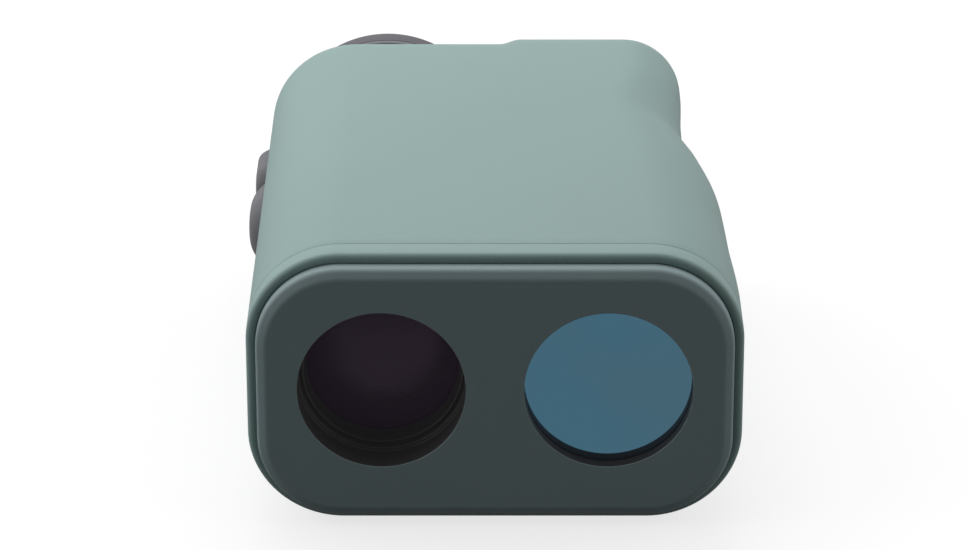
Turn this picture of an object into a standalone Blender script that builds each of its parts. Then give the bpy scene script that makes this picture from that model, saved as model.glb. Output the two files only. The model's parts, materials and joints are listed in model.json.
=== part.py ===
"""Handheld laser rangefinder, 6 x 25 class, as an assembly.

It lies on its right side: +Z is up, -Y is the objective end, +Y the eyepiece end, -X the top
with the two keys, +X the underside. The origin is the middle of the resting face. Lengths below
are in millimetres, and MM turns them into metres.
"""

import math

import bmesh
import bpy
from mathutils import Matrix, Vector

MM = 0.001


def grown(span, margin):
    """Span widened by a margin at both ends."""
    return span[0] - margin, span[1] + margin


def around(centre, half):
    """Span of half a length on each side of a centre."""
    return centre - half, centre + half


# casing
HALF_HEIGHT = 36.65  # casing half size across X
KEY_SIDE = -HALF_HEIGHT
THICK = 42.9  # casing size across Z
MID = THICK / 2
CORNER_R = 14.1  # section corner radius
WALL = 2.0
GAP = 0.3  # between neighbouring pieces
SPLIT = GAP / 2  # half the gap between the two side shells
REAR_Y = 47.9  # rear plane of the casing
REAR_R = 9.0  # rear edge radius
REAR_R_KEYS = 7.7  # rear edge radius on the key side
DOME_Y = REAR_Y - REAR_R
# underside profile: (y, distance from the centre plane)
GRIP = (
    (-50, 36.65), (-36, 36.65), (-20, 35.95), (-4, 35.4), (8, 33.55), (16, 30.75),
    (22, 30.15), (27, 30.1), (31, 30.3), (36, 30.5), (52, 30.5),
)

# lobe: the battery end of the casing, which stands behind the rest
LOBE_STEP = 2.2
LOBE_R = 9.4  # section corner radius
LOBE_X = (0.8, 4.1)  # the step rises over this span
LOBE_Y = (25, 41)  # the step sets in over this span
LOBE_R_Y = (5, 33)  # the corner radius changes over this span

# front
FACE_Y = -49.0  # front panel face
BAND_Y = -46.3  # front of the bezel band
BAND_R = 0.95  # its edge radius
BEZEL_STEP_Y = -43.9  # back of the bezel's narrow inside step
SEAM_Y = -42.4  # seam between bezel and side shells
PANEL_INSET = 1.5
PANEL_BACK = -44.2
RIM_TURN = math.radians(60)  # the panel's rim turns this far before its bevel
RIM_R_OUT = 1.04  # rim radius on the outer side of the bevel
RIM_R_IN = 1.42  # rim radius between the bevel and the face
RIM_BEVEL = 0.73  # bevel width
RIM_STRAIGHT = 0.65  # straight side in front of the bezel

# optics; the axes are (x, z)
APERTURE_R = 12.4
LENS_X = 16.7  # each aperture's distance from the centre plane
LENS_Z = MID + 0.8
OBJECTIVE = (-LENS_X, LENS_Z)
RECEIVER = (LENS_X, LENS_Z)
EYE = (-18.0, MID)
WINDOW_Y = -46.7  # front of the receiver window, close behind the panel's face
WINDOW_THICK = 1.7
PRISM_X = -16.8
PRISM_HALF = 10.5  # prism half size across X
PRISM_HALF_Z = 10.6
LASER = (PRISM_X, 10.0)  # (x, y) of the laser diode
EYE_BOSS_R = 17.9
EYE_BORE_R = 15.4
EYECUP_R = 17.2
EYECUP_END = 58.0

# keys
MEASURE_Y = (8.1, 22.8)
MODE_Y = (26.4, 40.6)
KEYS = (  # name, y span, half size across Z, height above the casing, dome exponent
    ("measure", MEASURE_Y, 6.4, 2.75, 3.2),
    ("mode", MODE_Y, 4.5, 2.5, 5.5),
)

# battery end
CELL = (15.2, MID)  # (x, z) of the cell's axis
CELL_R = 7.8
CELL_Y = (18.4, 45.3)
DOOR_X = (5.9, 24.6)
DOOR_Z = around(MID, 10.5)
DOOR_CUT_Z = grown(DOOR_Z, GAP)
DOOR_BACK = 47.5  # the door's inner face
DOOR_SEAT_Y = 45.6  # floor of the door's recess
CLEAR_Y = 54.0  # safely behind the casing
PIN = (4.9, 47.8)  # (x, y) of the door's pin
PIN_R = 0.6
PIN_HOLE_R = PIN_R + GAP
PIN_HOLE_Z = (9.3, THICK - 9.3)
BARREL_R = 2.2
SOCKET_R = BARREL_R + 0.35

# housing screws, as (x, y) on the flat of the lower shell
SCREWS = ((0.3, -36.0), (14.0, 10.4), (0.8, 29.5))
SCREW_BOSS_R = 2.5
SCREW_WAY_R = 1.35
TRIPOD = (-22.0, MID)  # (y, z)

for old in list(bpy.data.objects):
    bpy.data.objects.remove(old, do_unlink=True)

PARTS = bpy.data.collections.new("laser_rangefinder")
CUTTERS = bpy.data.collections.new("cutters")
bpy.context.scene.collection.children.link(PARTS)
bpy.context.scene.collection.children.link(CUTTERS)

# ---------------------------------------------------------------- materials
GREEN = (0.16, 0.235, 0.215)
BLACK = (0.012, 0.011, 0.012)
KEY_GREY = (0.09, 0.088, 0.10)
STEEL = (0.55, 0.55, 0.56)

CASING = dict(colour=GREEN, roughness=0.55)
PANEL = dict(colour=GREEN, roughness=0.6)
BLACK_METAL = dict(colour=BLACK, roughness=0.4, metallic=0.6)
BARREL_BLACK = dict(colour=BLACK, roughness=0.45)
SLEEVE_BLACK = dict(colour=BLACK, roughness=0.5)
INNER_BLACK = dict(colour=BLACK, roughness=0.6)
STOP_BLACK = dict(colour=BLACK, roughness=0.7)
RUBBER = dict(colour=BLACK, roughness=0.8)
DIOPTER_GREY = dict(colour=KEY_GREY, roughness=0.6)
KEY_RUBBER = dict(colour=KEY_GREY, roughness=0.65)
EYECUP_RUBBER = dict(colour=KEY_GREY, roughness=0.7)
BRIGHT_STEEL = dict(colour=STEEL, roughness=0.3, metallic=1.0)
SATIN_STEEL = dict(colour=STEEL, roughness=0.35, metallic=1.0)
BRASS = dict(colour=(0.62, 0.46, 0.18), roughness=0.3, metallic=1.0)
ALUMINIUM = dict(colour=(0.7, 0.7, 0.72), roughness=0.35, metallic=1.0)
CELL_METAL = dict(colour=(0.5, 0.5, 0.52), roughness=0.3, metallic=0.8)
GLASS = dict(colour=(0.85, 0.92, 0.92), roughness=0.02, transmission=1.0)
WINDOW_GLASS = dict(colour=(0.06, 0.12, 0.16), roughness=0.05, transmission=0.4)
FILTER_GLASS = dict(colour=(0.15, 0.02, 0.04), roughness=0.05, transmission=0.5)
DISPLAY = dict(colour=(0.5, 0.55, 0.55), roughness=0.1)
BOARD = dict(colour=(0.02, 0.14, 0.06), roughness=0.4)
CHIP = dict(colour=(0.03, 0.03, 0.03), roughness=0.5)
SWITCH = dict(colour=(0.05, 0.05, 0.05), roughness=0.5)
PLUNGER = dict(colour=(0.7, 0.7, 0.68), roughness=0.5)
CAPACITOR = dict(colour=(0.1, 0.14, 0.3), roughness=0.35)
RIBBON = dict(colour=(0.5, 0.2, 0.03), roughness=0.4)
LEAD = dict(colour=(0.35, 0.02, 0.02), roughness=0.5)


def material(name, colour, roughness, metallic=0.0, transmission=0.0):
    made = bpy.data.materials.new(name)
    made.use_nodes = True
    shader = made.node_tree.nodes["Principled BSDF"]
    shader.inputs["Base Color"].default_value = (*colour, 1.0)
    shader.inputs["Roughness"].default_value = roughness
    shader.inputs["Metallic"].default_value = metallic
    shader.inputs["Transmission Weight"].default_value = transmission
    made.diffuse_color = (*colour, 1.0)
    return made


def finish(obj, look):
    """Give an object its own material."""
    obj.data.materials.append(material(obj.name + "_finish", **look))
    return obj


# ---------------------------------------------------------------- outlines
def rounded(x_span, z_span, r, corner):
    """Rounded rectangle, as (x, z) pairs in order, with corner segments at each corner."""
    (x0, x1), (z0, z1) = x_span, z_span
    r = min(r, (x1 - x0) / 2 - 0.01, (z1 - z0) / 2 - 0.01)
    centres = ((x1 - r, z1 - r), (x0 + r, z1 - r), (x0 + r, z0 + r), (x1 - r, z0 + r))
    points = []
    for quarter, (x, z) in enumerate(centres):
        for k in range(corner + 1):
            a = math.radians(90 * quarter + 90 * k / corner)
            points.append((x + r * math.cos(a), z + r * math.sin(a)))
    return points


def at_x(x, outline):
    return [(x, y, z) for y, z in outline]


def at_y(y, outline):
    return [(x, y, z) for x, z in outline]


# ---------------------------------------------------------------- builders
def new_object(name, data, collection=PARTS):
    obj = bpy.data.objects.new(name, data)
    collection.objects.link(obj)
    if collection is CUTTERS:
        obj.hide_render = True
        obj.display_type = "WIRE"
    return obj


def make_mesh(name, bm, sharp_angle=None):
    """Mesh from bm; a sharp angle in degrees also shades it smooth below that angle."""
    mesh = bpy.data.meshes.new(name)
    bm.to_mesh(mesh)
    bm.free()
    if sharp_angle:
        mesh.shade_smooth()
        mesh.set_sharp_from_angle(angle=math.radians(sharp_angle))
    return mesh


def new_solid(name, bm, collection):
    bmesh.ops.recalc_face_normals(bm, faces=bm.faces)
    return new_object(name, make_mesh(name, bm, sharp_angle=35), collection)


def loft(name, rings, collection=PARTS, turn=False):
    """Quads between rings of equal count, capped, or with the last ring joined to the first."""
    bm = bmesh.new()
    rows = [[bm.verts.new(Vector(p) * MM) for p in ring] for ring in rings]
    pairs = list(zip(rows, rows[1:])) + ([(rows[-1], rows[0])] if turn else [])
    for a, b in pairs:
        for i in range(len(a)):
            j = (i + 1) % len(a)
            bm.faces.new((a[i], a[j], b[j], b[i]))
    if not turn:
        bm.faces.new(rows[0])
        bm.faces.new(rows[-1])
    return new_solid(name, bm, collection)


def frame(name, place, outer, inner, near, far):
    """Rubber frame between two outlines; place is at_x or at_y."""
    corners = ((near, outer), (far, outer), (far, inner), (near, inner))
    rings = [place(position, outline) for position, outline in corners]
    return finish(loft(name, rings, turn=True), RUBBER)


def plate_y(name, x, z, y, r, collection=PARTS, corner=4):
    """Rounded plate whose outline lies across X and Z."""
    outline = rounded(x, z, r, corner)
    return loft(name, [at_y(end, outline) for end in y], collection)


def box(name, x, y, z, collection=PARTS, bevel=0.0):
    """Box from its limits on each axis."""
    low, high = (Vector(ends) * MM for ends in zip(x, y, z))
    bm = bmesh.new()
    bmesh.ops.create_cube(bm, size=1.0)
    bmesh.ops.scale(bm, vec=high - low, verts=bm.verts)
    obj = new_solid(name, bm, collection)
    obj.location = (low + high) / 2
    if bevel:
        edge = obj.modifiers.new("edge", "BEVEL")
        edge.width = bevel * MM
        edge.segments = 1
    return obj


AXIS_TURN = {
    "X": Matrix.Rotation(math.radians(90), 4, "Y"),
    "Y": Matrix.Rotation(math.radians(-90), 4, "X"),
    "Z": Matrix.Identity(4),
}


def put_on_axis(obj, axis, centre, position=0):
    """Turn local Z onto an axis; centre gives the other two coordinates in order."""
    place = list(centre)
    place.insert("XYZ".index(axis), position)
    obj.matrix_world = Matrix.Translation(Vector(place) * MM) @ AXIS_TURN[axis]


def cylinder(name, axis, centre, span, r, sides, collection=CUTTERS):
    start, end = span
    bm = bmesh.new()
    bmesh.ops.create_cone(
        bm, cap_ends=True, segments=sides, radius1=r * MM, radius2=r * MM, depth=(end - start) * MM
    )
    obj = new_solid(name, bm, collection)
    put_on_axis(obj, axis, centre, (start + end) / 2)
    return obj


def turned(name, centre, profile, axis="Y", steps=24, solid=False):
    """Profile of (radius, position) points turned about an axis through centre.

    A ring's profile is a closed loop; a solid piece's starts and ends on the axis.
    """
    twice_area = sum(a[0] * b[1] - b[0] * a[1] for a, b in zip(profile, profile[1:] + profile[:1]))
    if twice_area > 0:  # the outer side has to run from top to bottom
        profile = profile[::-1]
    bm = bmesh.new()
    verts = [bm.verts.new((r * MM, 0, p * MM)) for r, p in profile]
    for a, b in zip(verts, verts[1:]):
        bm.edges.new((a, b))
    if not solid:
        bm.edges.new((verts[-1], verts[0]))
    obj = new_object(name, make_mesh(name, bm))
    put_on_axis(obj, axis, centre)
    screw = obj.modifiers.new("turn", "SCREW")
    screw.steps = screw.render_steps = steps
    screw.use_merge_vertices = True
    screw.merge_threshold = 0.00001
    screw.use_smooth_shade = True
    return obj


def disc(name, centre, r, y0, y1, steps):
    return turned(name, centre, [(0, y0), (r, y0), (r, y1), (0, y1)], steps=steps, solid=True)


def retaining_ring(name, centre, r_out, r_in, y0, y1):
    ring = turned(name, centre, [(r_out, y0), (r_out, y1), (r_in, y1), (r_in, y0)])
    return finish(ring, BLACK_METAL)


def lens(name, centre, r, edge_y, bulges):
    """Glass disc from its edge's y span and how far its -Y and +Y faces bulge outwards."""
    (front, back), (bulge_front, bulge_back) = edge_y, bulges
    points = [(r * t, front - bulge_front * (1 - t * t)) for t in (0, 0.5, 1)]
    points += [(r * t, back + bulge_back * (1 - t * t)) for t in (1, 0.5, 0)]
    return finish(turned(name, centre, points, solid=True), GLASS)


def poly_curve(name, points, dimensions):
    curve = bpy.data.curves.new(name, "CURVE")
    curve.dimensions = dimensions
    spline = curve.splines.new("POLY")
    spline.points.add(len(points) - 1)
    for point, p in zip(spline.points, points):
        point.co = (*(Vector(p) * MM), 1)
    return new_object(name, curve)


def wire(name, points, r):
    obj = poly_curve(name, points, "3D")
    obj.data.bevel_depth = r * MM
    obj.data.bevel_resolution = 1
    obj.data.use_fill_caps = True
    return obj


def prism(name, outline):
    """Glass block: a flat outline across X and Y, pulled along Z."""
    obj = poly_curve(name, [(x, y, 0) for x, y in outline], "2D")
    obj.data.fill_mode = "BOTH"
    obj.data.extrude = PRISM_HALF_Z * MM
    obj.data.splines[0].use_cyclic_u = True
    obj.location = (0, 0, MID * MM)
    return finish(obj, GLASS)


def boolean(obj, other, operation="DIFFERENCE"):
    cut = obj.modifiers.new(operation.lower(), "BOOLEAN")
    cut.operation = operation
    cut.solver = "EXACT"
    cut.object = other


def move_origin(obj, place):
    """Move the origin of an object that still lies at the world's, leaving its mesh in place."""
    origin = Vector(place) * MM
    obj.data.transform(Matrix.Translation(-origin))
    obj.location = origin


# ---------------------------------------------------------------- casing form
def smoothstep(value, span):
    t = min(max((value - span[0]) / (span[1] - span[0]), 0.0), 1.0)
    return t * t * (3 - 2 * t)


def underside(y):
    """Monotone cubic through the points of GRIP."""
    slopes = [(v1 - v0) / (y1 - y0) for (y0, v0), (y1, v1) in zip(GRIP, GRIP[1:])]
    i = next(n for n in range(len(slopes)) if y <= GRIP[n + 1][0])
    (y0, v0), (y1, v1) = GRIP[i], GRIP[i + 1]

    def tangent(a, b):
        return 0.0 if a * b <= 0 else 2 * a * b / (a + b)

    m0 = tangent(slopes[max(i - 1, 0)], slopes[i])
    m1 = tangent(slopes[i], slopes[min(i + 1, len(slopes) - 1)])
    step = y1 - y0
    t = (y - y0) / step
    return (
        v0 * (1 + 2 * t) * (1 - t) ** 2
        + m0 * step * t * (1 - t) ** 2
        + v1 * t * t * (3 - 2 * t)
        - m1 * step * t * t * (1 - t)
    )


def lobe_shift(x, y):
    return LOBE_STEP * smoothstep(x, LOBE_X) * smoothstep(y, LOBE_Y)


def rear_inset(r, y):
    """How far a side has drawn in at y, on a quarter round that ends at the rear plane."""
    t = min(max((y - REAR_Y + r) / r, 0.0), 1.0)
    return r * (1 - math.sqrt(1 - t * t))


def half_section(y, corner=5):
    """Upper half of the casing's section, from the underside over +Z to the key side."""
    inset, key_inset = rear_inset(REAR_R, y), rear_inset(REAR_R_KEYS, y)
    right = underside(y)
    r = CORNER_R + (LOBE_R - CORNER_R) * smoothstep(y, LOBE_R_Y)
    outline = [(right - inset, MID)]
    for k in range(corner + 1):
        a = math.radians(90 * k / corner)
        x = right - r + (r - inset) * math.cos(a)
        outline.append((x, THICK - r + (r - inset) * math.sin(a)))
    # points on the flat, closest together across the lobe's step
    for x in (10.0, 6.0, LOBE_X[1], sum(LOBE_X) / 2, LOBE_X[0], -8.0):
        outline.append((x, THICK - inset))
    for k in range(corner + 1):
        a = math.radians(90 + 90 * k / corner)
        x = KEY_SIDE + CORNER_R + (CORNER_R - key_inset) * math.cos(a)
        outline.append((x, THICK - CORNER_R + (CORNER_R - inset) * math.sin(a)))
    outline.append((KEY_SIDE + key_inset, MID))
    return [(x, y + lobe_shift(x, y), z) for x, z in outline]


STATIONS = [SEAM_Y + GAP / 2, -20, -4, 4, 10, 16, 22, 28, 34, DOME_Y]
STATIONS += [DOME_Y + REAR_R * math.sin(math.radians(90 * k / 5)) for k in range(1, 6)]


# ---------------------------------------------------------------- side shells
def side_shell(name, upper):
    bm = bmesh.new()

    def vert(x, y, z):
        return bm.verts.new(Vector((x, y, z if upper else THICK - z)) * MM)

    split_z = MID + SPLIT
    rings = [[(x, y, max(z, split_z)) for x, y, z in half_section(station)] for station in STATIONS]
    rows = [[vert(*p) for p in ring] for ring in rings]

    # rear face, between the last ring and the split line; points near its ends share a vertex
    xs = [x for x, _, _ in rings[-1]]
    last = rows[-1]
    foot = [last[0]]
    for x in xs[1:-1]:
        if abs(x - xs[0]) <= 0.4:
            foot.append(foot[-1])
        elif abs(x - xs[-1]) <= 0.4:
            foot.append(last[-1])
        else:
            foot.append(vert(x, REAR_Y + lobe_shift(x, REAR_Y), split_z))
    foot.append(last[-1])
    rows.append(foot)

    for a, b in zip(rows, rows[1:]):
        for i in range(len(a) - 1):
            corners = list(dict.fromkeys((a[i], a[i + 1], b[i + 1], b[i])))
            if len(corners) > 2:
                bm.faces.new(corners)

    # the skin is open, so its outward side is settled by the face farthest from the split
    bmesh.ops.recalc_face_normals(bm, faces=bm.faces)
    bm.normal_update()
    side = 1 if upper else -1
    farthest = max(bm.faces, key=lambda face: face.calc_center_median().z * side)
    if (farthest.normal.z > 0) != upper:
        bmesh.ops.reverse_faces(bm, faces=bm.faces)

    obj = new_object(name, make_mesh(name, bm, sharp_angle=40))
    skin = obj.modifiers.new("wall", "SOLIDIFY")
    skin.thickness = WALL * MM
    skin.offset = -1
    skin.use_even_offset = True
    return finish(obj, CASING)


upper_shell = side_shell("left_side_shell", True)
lower_shell = side_shell("right_side_shell", False)
SHELLS = (upper_shell, lower_shell)

# eyepiece boss, one round wall on both shells
for shell, z in ((upper_shell, (MID + SPLIT, 60.0)), (lower_shell, (-16.0, MID - SPLIT))):
    boss = cylinder(shell.name + "_eye_boss", "Y", EYE, (42.2, 49.2), EYE_BOSS_R, 40)
    half = box(shell.name + "_eye_half", (-60, 30), (30, 60), z, CUTTERS)
    boolean(boss, half, "INTERSECT")
    boolean(shell, boss, "UNION")
    boolean(shell, cylinder(shell.name + "_eye_bore", "Y", EYE, (41.0, 51.0), EYE_BORE_R, 40))

SCREW_FEATURES = (  # shell, name, z span, radius, sides, operation
    (lower_shell, "lower_boss", (1.2, MID - 0.4), SCREW_BOSS_R, 16, "UNION"),
    (lower_shell, "screw_pocket", (-1.0, 3.2), 2.2, 20, "DIFFERENCE"),
    (lower_shell, "screw_way", (2.0, 23.0), SCREW_WAY_R, 16, "DIFFERENCE"),
    (upper_shell, "upper_boss", (MID + 0.4, THICK - 1.2), SCREW_BOSS_R, 16, "UNION"),
    (upper_shell, "screw_thread", (20.0, 28.5), SCREW_WAY_R, 16, "DIFFERENCE"),
)
SCREW_PROFILE = [  # (radius, z), head downwards
    (0, 1.2), (1.5, 1.2), (1.85, 1.55), (1.85, 2.8), (1.0, 2.8), (1.0, 27.2), (0.6, 27.8), (0, 27.8),
]
for n, place in enumerate(SCREWS, 1):
    for shell, name, z, r, sides, operation in SCREW_FEATURES:
        boolean(shell, cylinder(f"{name}_{n}", "Z", place, z, r, sides), operation)
    screw = turned(f"housing_screw_{n}", place, SCREW_PROFILE, axis="Z", steps=16, solid=True)
    boolean(screw, cylinder(f"screw_recess_{n}", "Z", place, (0.5, 2.0), 0.8, 6))
    finish(screw, SATIN_STEEL)

# an opening for each key, in the middle of the key side
for name, span, half, _, _ in KEYS:
    outline = rounded(grown(span, GAP), around(MID, half + GAP), half, 5)
    for shell in SHELLS:
        rings = [at_x(x, outline) for x in (-42.0, -33.0)]
        boolean(shell, loft(f"{shell.name}_{name}_button_slot", rings, CUTTERS))

# tripod insert and its opening on the underside
for shell in SHELLS:
    boolean(shell, cylinder(shell.name + "_tripod_hole", "X", TRIPOD, (32.5, 38.0), 4.9, 24))
insert_profile = [(3.1, 30.9), (6.2, 30.9), (6.2, 33.4), (4.6, 33.4), (4.6, 36.4), (3.1, 36.4)]
finish(turned("tripod_insert", TRIPOD, insert_profile, axis="X"), BRASS)

# battery door opening: ears that hold the pin, then the door's recess and the swing groove
EAR_Z = ((lower_shell, (8.0, DOOR_CUT_Z[0] + 2)), (upper_shell, (DOOR_CUT_Z[1] - 2, THICK - 8.0)))
for shell, z in EAR_Z:
    name = shell.name
    pin_x, pin_y = PIN
    ear = box(name + "_pin_ear", around(pin_x, 1.8), (46.4, 49.2), z, CUTTERS)
    boolean(shell, ear, "UNION")
    recess_x = (pin_x - 0.5, DOOR_X[1] + GAP)
    recess_y = (DOOR_SEAT_Y, CLEAR_Y)
    boolean(shell, plate_y(name + "_door_recess", recess_x, DOOR_CUT_Z, recess_y, 4.5, CUTTERS))
    groove_x = (pin_x - SOCKET_R, DOOR_X[0] + 6)
    boolean(shell, box(name + "_door_groove", groove_x, (pin_y, CLEAR_Y), DOOR_CUT_Z, CUTTERS))
    boolean(shell, cylinder(name + "_door_socket", "Z", PIN, DOOR_CUT_Z, SOCKET_R, 24))
    boolean(shell, cylinder(name + "_pin_hole", "Z", PIN, PIN_HOLE_Z, PIN_HOLE_R, 12))


# ---------------------------------------------------------------- front
def front_outline(inset, corner=6):
    x, z = around(0, HALF_HEIGHT - inset), (inset, THICK - inset)
    return rounded(x, z, CORNER_R - inset, corner)


def front_rings(profile):
    """Rings from (y, inset) points."""
    return [at_y(y, front_outline(inset)) for y, inset in profile]


def band_edge(steps=3):
    """(y, inset) points of the quarter round from the bezel's side to its front."""
    angles = [math.radians(90 * k / steps) for k in range(steps + 1)]
    return [(BAND_Y + BAND_R - BAND_R * math.sin(a), BAND_R * (1 - math.cos(a))) for a in angles]


def rim_profile():
    """(y, inset) points of the panel's rim: a straight side, an arc, a bevel, an arc to the face."""
    angles = [RIM_TURN * k / 3 for k in range(4)]
    points = [(RIM_R_OUT * math.sin(a), RIM_R_OUT * (1 - math.cos(a))) for a in angles]
    forward = points[-1][0] + RIM_BEVEL * math.cos(RIM_TURN)
    inset = points[-1][1] + RIM_BEVEL * math.sin(RIM_TURN)
    for k in range(3):
        a = RIM_TURN + (math.radians(90) - RIM_TURN) * k / 2
        points.append((
            forward + RIM_R_IN * (math.sin(a) - math.sin(RIM_TURN)),
            inset + RIM_R_IN * (math.cos(RIM_TURN) - math.cos(a)),
        ))
    side_y = FACE_Y + points[-1][0]
    arcs = [(side_y - forward, PANEL_INSET + inset) for forward, inset in points]
    return [(side_y + RIM_STRAIGHT, PANEL_INSET)] + arcs


bezel_back = SEAM_Y - GAP / 2
bezel_profile = [
    (bezel_back, 0.0), *band_edge(), (BAND_Y, 1.1), (BAND_Y + 0.15, 1.2),
    (BEZEL_STEP_Y, 1.2), (BEZEL_STEP_Y, 5.0), (bezel_back, 5.0),
]
finish(loft("front_bezel", front_rings(bezel_profile), turn=True), CASING)

panel = loft("front_panel", front_rings([(PANEL_BACK, PANEL_INSET)] + rim_profile()))
for name, centre, y, r in (
    ("aperture_1", OBJECTIVE, (-52, -40), APERTURE_R),
    ("aperture_3", RECEIVER, (-52, -40), APERTURE_R),
    ("receiver_counterbore", RECEIVER, (WINDOW_Y - 0.35, -40), 13.95),
    ("objective_counterbore", OBJECTIVE, (-46.05, -40), 14.45),
):
    boolean(panel, cylinder(name, "Y", centre, y, r, 40))
finish(panel, PANEL)

frame("front_gasket", at_y, front_outline(2.6, 4), front_outline(4.4, 4), -41.2, -42.2)

# ---------------------------------------------------------------- viewing objective
# profiles from here on are (radius, y) unless turned about Z
objective_profile = [
    (14.1, -45.7), (14.1, -32.0), (12.7, -30.5), (12.7, -13.0), (10.6, -13.0), (10.6, -31.4),
    (12.35, -31.4), (12.35, -42.7), (12.9, -42.7), (12.9, -45.7),
]
finish(turned("objective_barrel", OBJECTIVE, objective_profile, steps=28), BARREL_BLACK)
retaining_ring("objective_retaining_ring", OBJECTIVE, 12.05, 11.4, -41.6, -38.0)
lens("objective_front_element", OBJECTIVE, 12.05, (-37.6, -35.2), (1.7, 1.3))
lens("objective_rear_element", OBJECTIVE, 12.05, (-33.4, -31.8), (-1.2, 0.4))

# ---------------------------------------------------------------- prism group
housing = box("prism_housing", around(PRISM_X, 12.8), (-10.6, 20.4), around(MID, 12.6))
boolean(housing, box("prism_room", around(PRISM_X, 11.3), (-12, 22), around(MID, 11.2), CUTTERS))
boolean(housing, cylinder("laser_port", "Z", LASER, (MID + 10, MID + 15), 2.6, 16))
finish(housing, INNER_BLACK)

# prism outlines are (x, y)
prism_left, prism_right = around(PRISM_X, PRISM_HALF)
prism("half_penta_prism", [
    (prism_left, -9.4), (prism_right, -9.4), (prism_right, -3.6), (PRISM_X - 2.6, 4.0),
    (prism_left, 4.0),
])
prism("roof_prism", [
    (prism_right, -2.8), (prism_right, 14.5), (PRISM_X + 6.0, 18.6), (PRISM_X - 6.0, 18.6),
    (prism_left, 14.5), (prism_left, 4.8), (PRISM_X - 2.4, 4.8),
])

MOUNT_Z = MID + 12.9  # clamp and diode mount, just above the prism housing
clamp = box("prism_clamp", (-26.0, -9.0), (-2.0, 6.0), (MOUNT_Z, MOUNT_Z + 0.8), bevel=0.2)
finish(clamp, SATIN_STEEL)
mount_x, mount_z = around(PRISM_X, 6.0), (MOUNT_Z, MOUNT_Z + 1.8)
mount = box("laser_diode_mount", mount_x, (6.6, 14.4), mount_z, bevel=0.3)
boolean(mount, cylinder("diode_way", "Z", LASER, (MID + 11, MID + 17), 2.7, 16))
finish(mount, ALUMINIUM)
diode_profile = [  # (radius, height above the middle)
    (0, 11.9), (1.9, 11.9), (2.3, 12.3), (2.3, 15.0), (3.3, 15.0), (3.3, 16.0), (0, 16.0),
]
diode_profile = [(r, MID + height) for r, height in diode_profile]
finish(turned("laser_diode", LASER, diode_profile, axis="Z", steps=16, solid=True), BRASS)

display = box("lcd_display", around(PRISM_X, 7.2), (20.8, 22.0), around(MID, 7.2), bevel=0.15)
finish(display, DISPLAY)
stop_profile = [(6.0, 22.4), (10.6, 22.4), (10.6, 23.4), (6.0, 23.4)]
finish(turned("field_stop", (PRISM_X, MID), stop_profile, steps=20), STOP_BLACK)

# ---------------------------------------------------------------- receiver
receiver_profile = [
    (13.6, WINDOW_Y), (13.6, -27.5), (8.2, -3.0), (8.2, 1.0), (6.8, 1.0), (6.8, -4.0),
    (11.4, -26.0), (11.4, -33.9), (12.9, -33.9), (12.9, WINDOW_Y),
]
finish(turned("receiver_barrel", RECEIVER, receiver_profile, steps=28), BARREL_BLACK)
window_back = WINDOW_Y + WINDOW_THICK
finish(disc("receiver_window", RECEIVER, 12.6, WINDOW_Y, window_back, 28), WINDOW_GLASS)
ring_y = window_back + GAP
retaining_ring("window_retaining_ring", RECEIVER, 12.55, 11.6, ring_y, ring_y + 2.3)
lens("receiver_lens", RECEIVER, 12.5, (-36.2, -34.2), (1.0, 0.0))
finish(disc("bandpass_filter", RECEIVER, 6.4, -2.6, -1.4, 20), FILTER_GLASS)
photodiode_profile = [(0, 0.2), (2.3, 0.2), (2.3, 2.0), (2.8, 2.0), (2.8, 2.7), (0, 2.7)]
finish(turned("photodiode", RECEIVER, photodiode_profile, steps=16, solid=True), BRASS)
finish(box("receiver_board", (9.8, 23.8), (3.0, 4.0), around(MID, 7), bevel=0.1), BOARD)

# ---------------------------------------------------------------- eyepiece
sleeve_profile = [
    (10.9, 26.4), (11.9, 26.4), (11.9, 44.2), (15.1, 44.9), (15.1, 49.2), (13.2, 49.2),
    (13.2, 53.2), (10.9, 53.2),
]
finish(turned("eyepiece_sleeve", EYE, sleeve_profile), SLEEVE_BLACK)
eye_cell_profile = [
    (10.6, 28.4), (10.6, 51.4), (8.0, 51.4), (8.0, 50.7), (9.3, 50.7), (9.3, 31.0), (8.2, 31.0),
    (8.2, 28.4),
]
finish(turned("eyepiece_cell", EYE, eye_cell_profile), BARREL_BLACK)
lens("field_lens", EYE, 9.0, (33.4, 35.4), (1.6, 0.4))
lens("eye_lens", EYE, 9.0, (44.4, 46.6), (0.8, 1.9))
retaining_ring("eyepiece_lens_retainer", EYE, 9.0, 8.1, 49.3, 50.3)
diopter_seal_profile = [(14.9, 49.5), (13.6, 49.5), (13.6, 50.1), (14.9, 50.1)]
finish(turned("diopter_seal", EYE, diopter_seal_profile), RUBBER)
diopter_profile = [
    (13.5, 50.4), (15.3, 50.4), (15.3, 49.5), (16.5, 49.5), (16.8, 49.8), (16.8, 53.3),
    (16.5, 53.6), (13.5, 53.6),
]
finish(turned("diopter_ring", EYE, diopter_profile, steps=36), DIOPTER_GREY)
eyecup_profile = [
    (11.4, 53.9), (16.5, 53.9), (EYECUP_R, 54.6), (EYECUP_R, EYECUP_END - 1.2),
    (EYECUP_R - 0.4, EYECUP_END - 0.3), (EYECUP_R - 1.2, EYECUP_END),
    (EYECUP_R - 2.2, EYECUP_END - 0.4), (13.2, 55.4), (11.4, 54.9),
]
finish(turned("eyecup", EYE, eyecup_profile, steps=30), EYECUP_RUBBER)


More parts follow.
